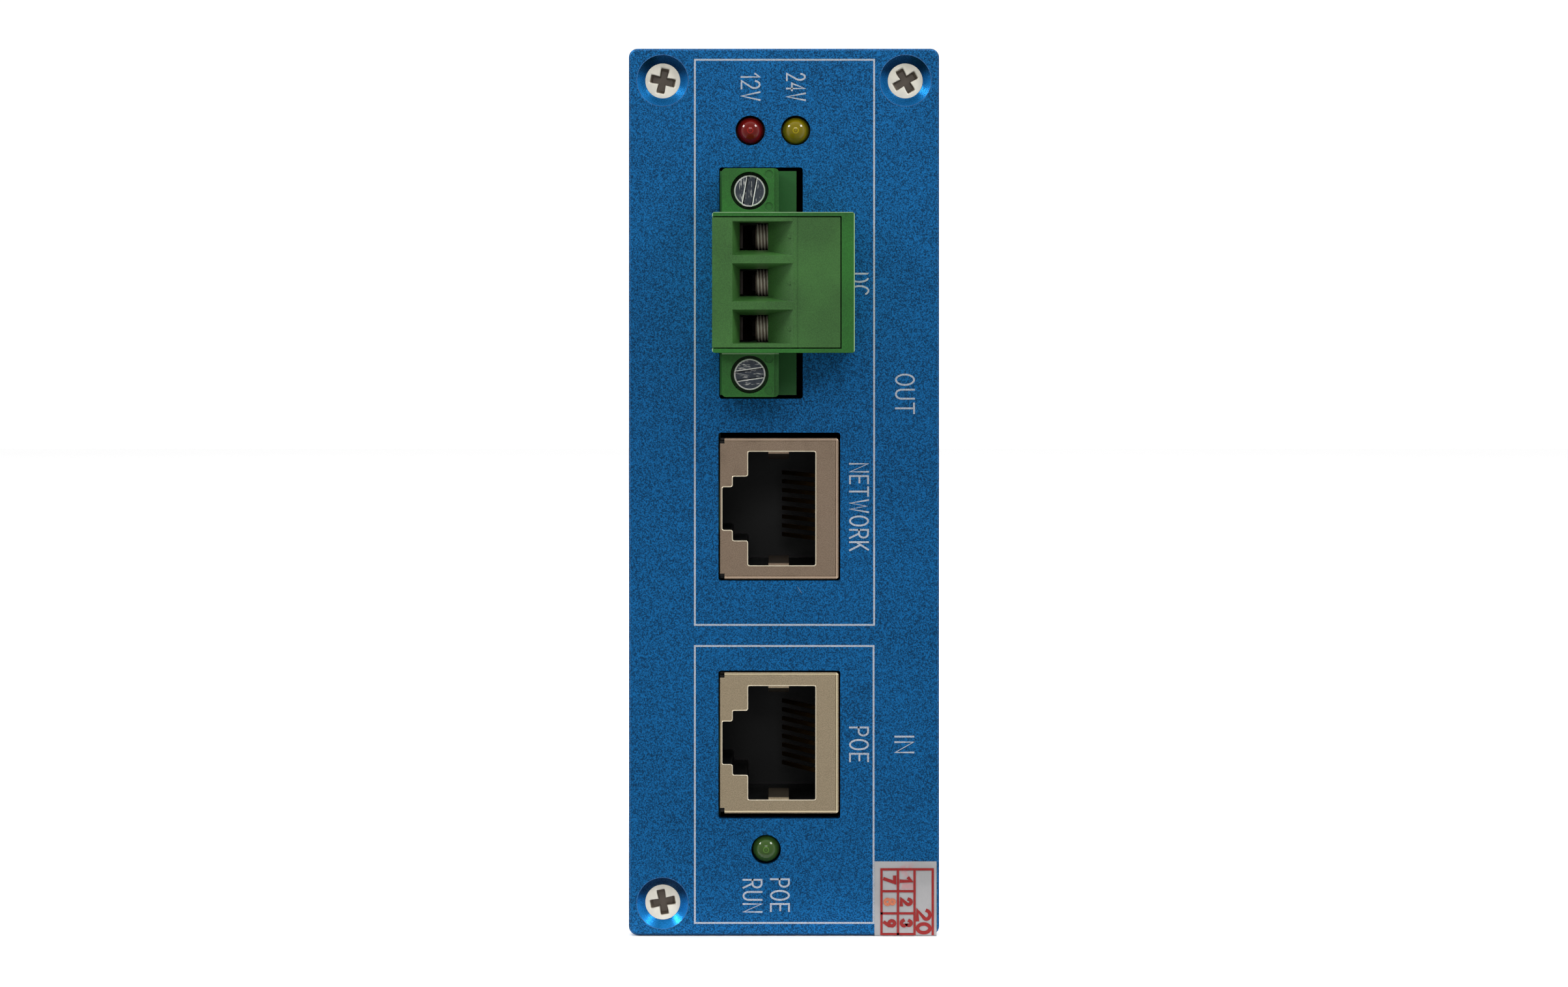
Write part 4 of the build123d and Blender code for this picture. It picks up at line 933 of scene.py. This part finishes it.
def lamp_skin(low, high):
    """Skin of a lamp, in metres: a half ball that runs on into a cylinder and a brim, as a profile
    of radius and depth turned about the lamp's axis."""
    brim = (high.x - low.x) / 2
    length = high.y - low.y
    neck = length - lamp_brim
    arc = np.radians(np.linspace(0, 90, 36))
    ring = np.concatenate([lamp_radius * np.sin(arc), [lamp_radius, brim, brim, 0]])
    depth = np.concatenate([lamp_radius * (1 - np.cos(arc)), [neck, neck, length, length]])
    east, up, down = revolved(ring, depth, 96)
    middle = (low + high) / 2
    return np.stack([middle.x + east, low.y + down, middle.z + up], -1)


def tinted_epoxy(name, base, middle):
    """Tinted epoxy: glossy, made paler towards the rim by painted light, with the die cup as a
    pale ring and dot.
    """
    recipe = Recipe(name, {"Roughness": 0.1, "Specular IOR Level": 0.4})
    across = recipe.axis("X") - middle.x
    up = recipe.axis("Z") - middle.z
    away = ((across * across + up * up) ** 0.5) * (1 / mm)
    ring = 1 - (abs(away - 0.3) * (1 / 0.06)).lower(1)
    dot = away.ramp(0.1, 0.02)
    # Painted light makes the epoxy paler towards the rim
    rim_light = away.ramp(1.0, 1.5)
    tone = recipe.mixed(rim_light, base, shaded(base, 2.4))
    recipe.feed("Base Color", recipe.mixed((ring + dot * 0.4) * 0.6, tone, shaded(base, 4.0)))
    return recipe.material


for hue, base in (("red", (108, 17, 11)), ("yellow", (121, 108, 4)), ("green", (57, 86, 33))):
    low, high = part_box(f"led_{hue}")
    epoxy = tinted_epoxy(f"epoxy_{hue}", colour(*base), (low + high) / 2)
    piece = grid_piece(f"lamp_{hue}", lamp_skin(low, high), epoxy, smooth=30)
    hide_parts(f"led_{hue}")

# Date label: a strip of coated paper stuck on the panel's corner and folded under its lower edge.
# It has a printed red grid, with the month and year as figures.
label_low, label_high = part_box("date_label")
label_thick = 0.1 * mm
fold_radius = 0.3 * mm
ripple_height = 0.015 * mm
ripple_length = 1.9 * mm
label_line = 0.26
label_grid = (10.99, 12.85, 14.72, 16.77)
label_rows = (-42.55, -45.02, -47.52, -49.85)
wiped_across = 13.75 * mm
wiped_up = rise - 43.6 * mm
figure_height = 1.1
year_height = 1.4
year_start, year_end = -47.2, -49.7


def label_skin():
    """Skin of the label, in metres: a line down the front, a quarter round of the fold's radius and
    a line back under the panel, given the paper's thickness, and swept across with a ripple."""
    down = label_high.z - (label_low.z + fold_radius)
    back = label_high.y - (label_low.y + fold_radius)
    arc = np.radians(np.linspace(0, 90, 9))
    outer_y = np.concatenate([
        np.full(30, label_low.y), label_low.y + fold_radius * (1 - np.cos(arc[1:-1])),
        np.linspace(label_low.y + fold_radius, label_low.y + fold_radius + back, 30),
    ])
    outer_z = np.concatenate([
        np.linspace(label_high.z, label_high.z - down, 30),
        label_low.z + fold_radius * (1 - np.sin(arc[1:-1])), np.full(30, label_low.z),
    ])
    inner_y = np.maximum(outer_y, label_low.y + label_thick)
    inner_z = np.maximum(outer_z, label_low.z + label_thick)
    loop_y = np.concatenate([outer_y, inner_y[::-1]])
    loop_z = np.concatenate([outer_z, inner_z[::-1]])
    across = np.linspace(label_low.x, label_high.x, 40)
    wave = ripple_height * np.sin((across - label_low.x) / ripple_length)[:, None]
    front = (loop_y < label_low.y + label_thick / 2) & (loop_z > label_low.z + fold_radius)
    rows = np.stack([
        np.repeat(across[:, None], len(loop_y), 1),
        loop_y + np.where(front, ripple_height + wave, 0),
        np.repeat(loop_z[None], len(across), 0),
    ], -1)
    ends = [np.repeat(rows[i].mean(0)[None], len(loop_y), 0)[None] for i in (0, -1)]
    return np.concatenate([ends[0], rows, ends[1]])


def coated_paper(name, base):
    """Coated paper: faint fibres, grey finger soil in clouds, and ink wiped about the second
    column's upper half."""
    recipe = Recipe(name, {"Roughness": 0.62})
    fibre = recipe.grain(0.15 * mm, 4.0, (1.0, 1.0, 0.35))
    soil = recipe.grain(2.5 * mm, 3.0).ramp(0.4, 0.75)
    tone = recipe.mixed(0.3 * fibre + 0.45 * soil, shaded(base, 1.05), shaded(base, 0.78))
    east = abs(recipe.axis("X") - wiped_across).ramp(1.5 * mm, 0.4 * mm)
    up = abs(recipe.axis("Z") - wiped_up).ramp(2.2 * mm, 0.8 * mm)
    wiped = recipe.grain(0.7 * mm, 3.0).ramp(0.4, 0.65) * east * up
    tone = recipe.mixed(wiped * 0.55, tone, colour(196, 110, 112))
    recipe.feed("Base Color", tone)
    recipe.dent(fibre, 0.01 * mm, 0.4)
    return recipe.material


label_finish = coated_paper("label_paper", colour(169, 168, 169))
label = grid_piece("date_label_paper", label_skin(), label_finish, smooth=30)
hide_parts("date_label")
label_ink = ink("label_red_ink", colour(154, 20, 18))
faded_ink = ink("label_faded_ink", colour(206, 118, 84))
left, first, second, right = label_grid
rows = [(left, z, right if z == label_rows[0] else second) for z in label_rows]
grid_strokes = [np.array([(x, label_rows[0]), (x, label_rows[-1])]) for x in label_grid]
grid_strokes += [np.array([(start, z), (end, z)]) for start, z, end in rows]
print_on("label_grid", grid_strokes, label_line, label_low.y, label_ink)
label_figures, faded = [], []
for figures, column in (("789", (left + first) / 2), ("123", (first + second) / 2)):
    for figure, top, low in zip(figures, label_rows, label_rows[1:]):
        middle, half = (top + low) / 2 + 0.05, 0.3 if figure != "1" else 0.15
        strokes = written(figure, column, middle + half, middle - half, figure_height)
        (faded if figure == "8" else label_figures).extend(strokes)
print_on("label_faded_figure", faded, 0.34, label_low.y, faded_ink)
print_on("label_figures", label_figures, 0.38, label_low.y, label_ink)
year = written("20", (second + right) / 2, year_start, year_end, year_height)
print_on("label_year", year, 0.4, label_low.y, label_ink)

# Studio: the module stands on a plain white table, flush with its front edge, so that little light
# comes up from below. Soft boxes hang at its upper left and right, before it and overhead, in pale
# surroundings that are dimmer on the camera's side.
table_level = cad_box[0].z
table_half, table_front, table_back = 0.9, -0.106, 1.3
columns, rows = np.meshgrid(
    np.linspace(-table_half, table_half, 31), np.linspace(table_front, table_back, 25)
)
points = np.stack([columns, rows, np.full_like(columns, table_level)], -1).reshape(-1, 3)
table_paint = Recipe("floor_paint", {"Roughness": 0.9})
patch = table_paint.grain(0.4, 2.0)
paint = table_paint.mixed(patch, colour(250, 250, 250), colour(255, 255, 255))
table_paint.feed("Base Color", paint)
table = mesh_object("studio_floor", points, lattice(*columns.shape), table_paint.material)


def soft_box(name, place, target, width, height, power):
    """A square lamp at a place, turned to a target."""
    lamp = bpy.data.lights.new(name, "AREA")
    lamp.shape, lamp.size, lamp.size_y, lamp.energy = "RECTANGLE", width, height, power
    box = bpy.data.objects.new(name, lamp)
    box.location = place
    box.rotation_euler = (Vector(target) - Vector(place)).to_track_quat("-Z", "Y").to_euler()
    bpy.context.scene.collection.objects.link(box)


soft_box("soft_box_left", (-0.62, -0.32, 0.48), (0, -0.1, 0), 0.2, 0.2, 2.8)
soft_box("soft_box_right", (0.5, -0.42, 0.52), (0, -0.1, 0), 0.2, 0.2, 2.6)
soft_box("soft_box_front", (0, -1.25, 0.5), (0, -0.1, 0.02), 0.5, 0.3, 1.8)
soft_box("soft_box_overhead", (0, 0.15, 0.75), (0, 0.05, 0), 0.8, 0.5, 3.2)

surroundings = bpy.data.worlds.new("surroundings")
surroundings.use_nodes = True
bpy.context.scene.world = surroundings
sky = surroundings.node_tree
direction = sky.nodes.new("ShaderNodeTexCoord").outputs["Generated"]
parted = sky.nodes.new("ShaderNodeSeparateXYZ")
sky.links.new(direction, parted.inputs[0])
dimmer = sky.nodes.new("ShaderNodeMapRange")
dimmer.interpolation_type = "SMOOTHSTEP"
for name, value in (("From Min", -0.7), ("From Max", -0.15), ("To Min", 0.38), ("To Max", 1.1)):
    dimmer.inputs[name].default_value = value
sky.links.new(parted.outputs["Y"], dimmer.inputs["Value"])
sky.links.new(dimmer.outputs[0], sky.nodes["Background"].inputs["Strength"])
sky.nodes["Background"].inputs["Color"].default_value = (1, 1, 1, 1)

# Camera: level with a point 21 mm above the panel's middle, and 410 mm before the panel. Its
# picture is shifted down to the panel.
eye_above_middle = 21 * mm
camera_y = -0.509
lens_length = 83.48
film_width = 36.0
picture_shift = -0.1198
scene = bpy.context.scene
scene.view_settings.view_transform = "Standard"
lens = bpy.data.cameras.new("photo_lens")
lens.lens, lens.sensor_width, lens.shift_y = lens_length, film_width, picture_shift
lens.clip_start, lens.clip_end = 0.01, 50
camera = bpy.data.objects.new("photo_camera", lens)
camera.location = (0, camera_y, rise + eye_above_middle)
camera.rotation_euler = (math.pi / 2, 0, 0)
scene.collection.objects.link(camera)
scene.camera = camera
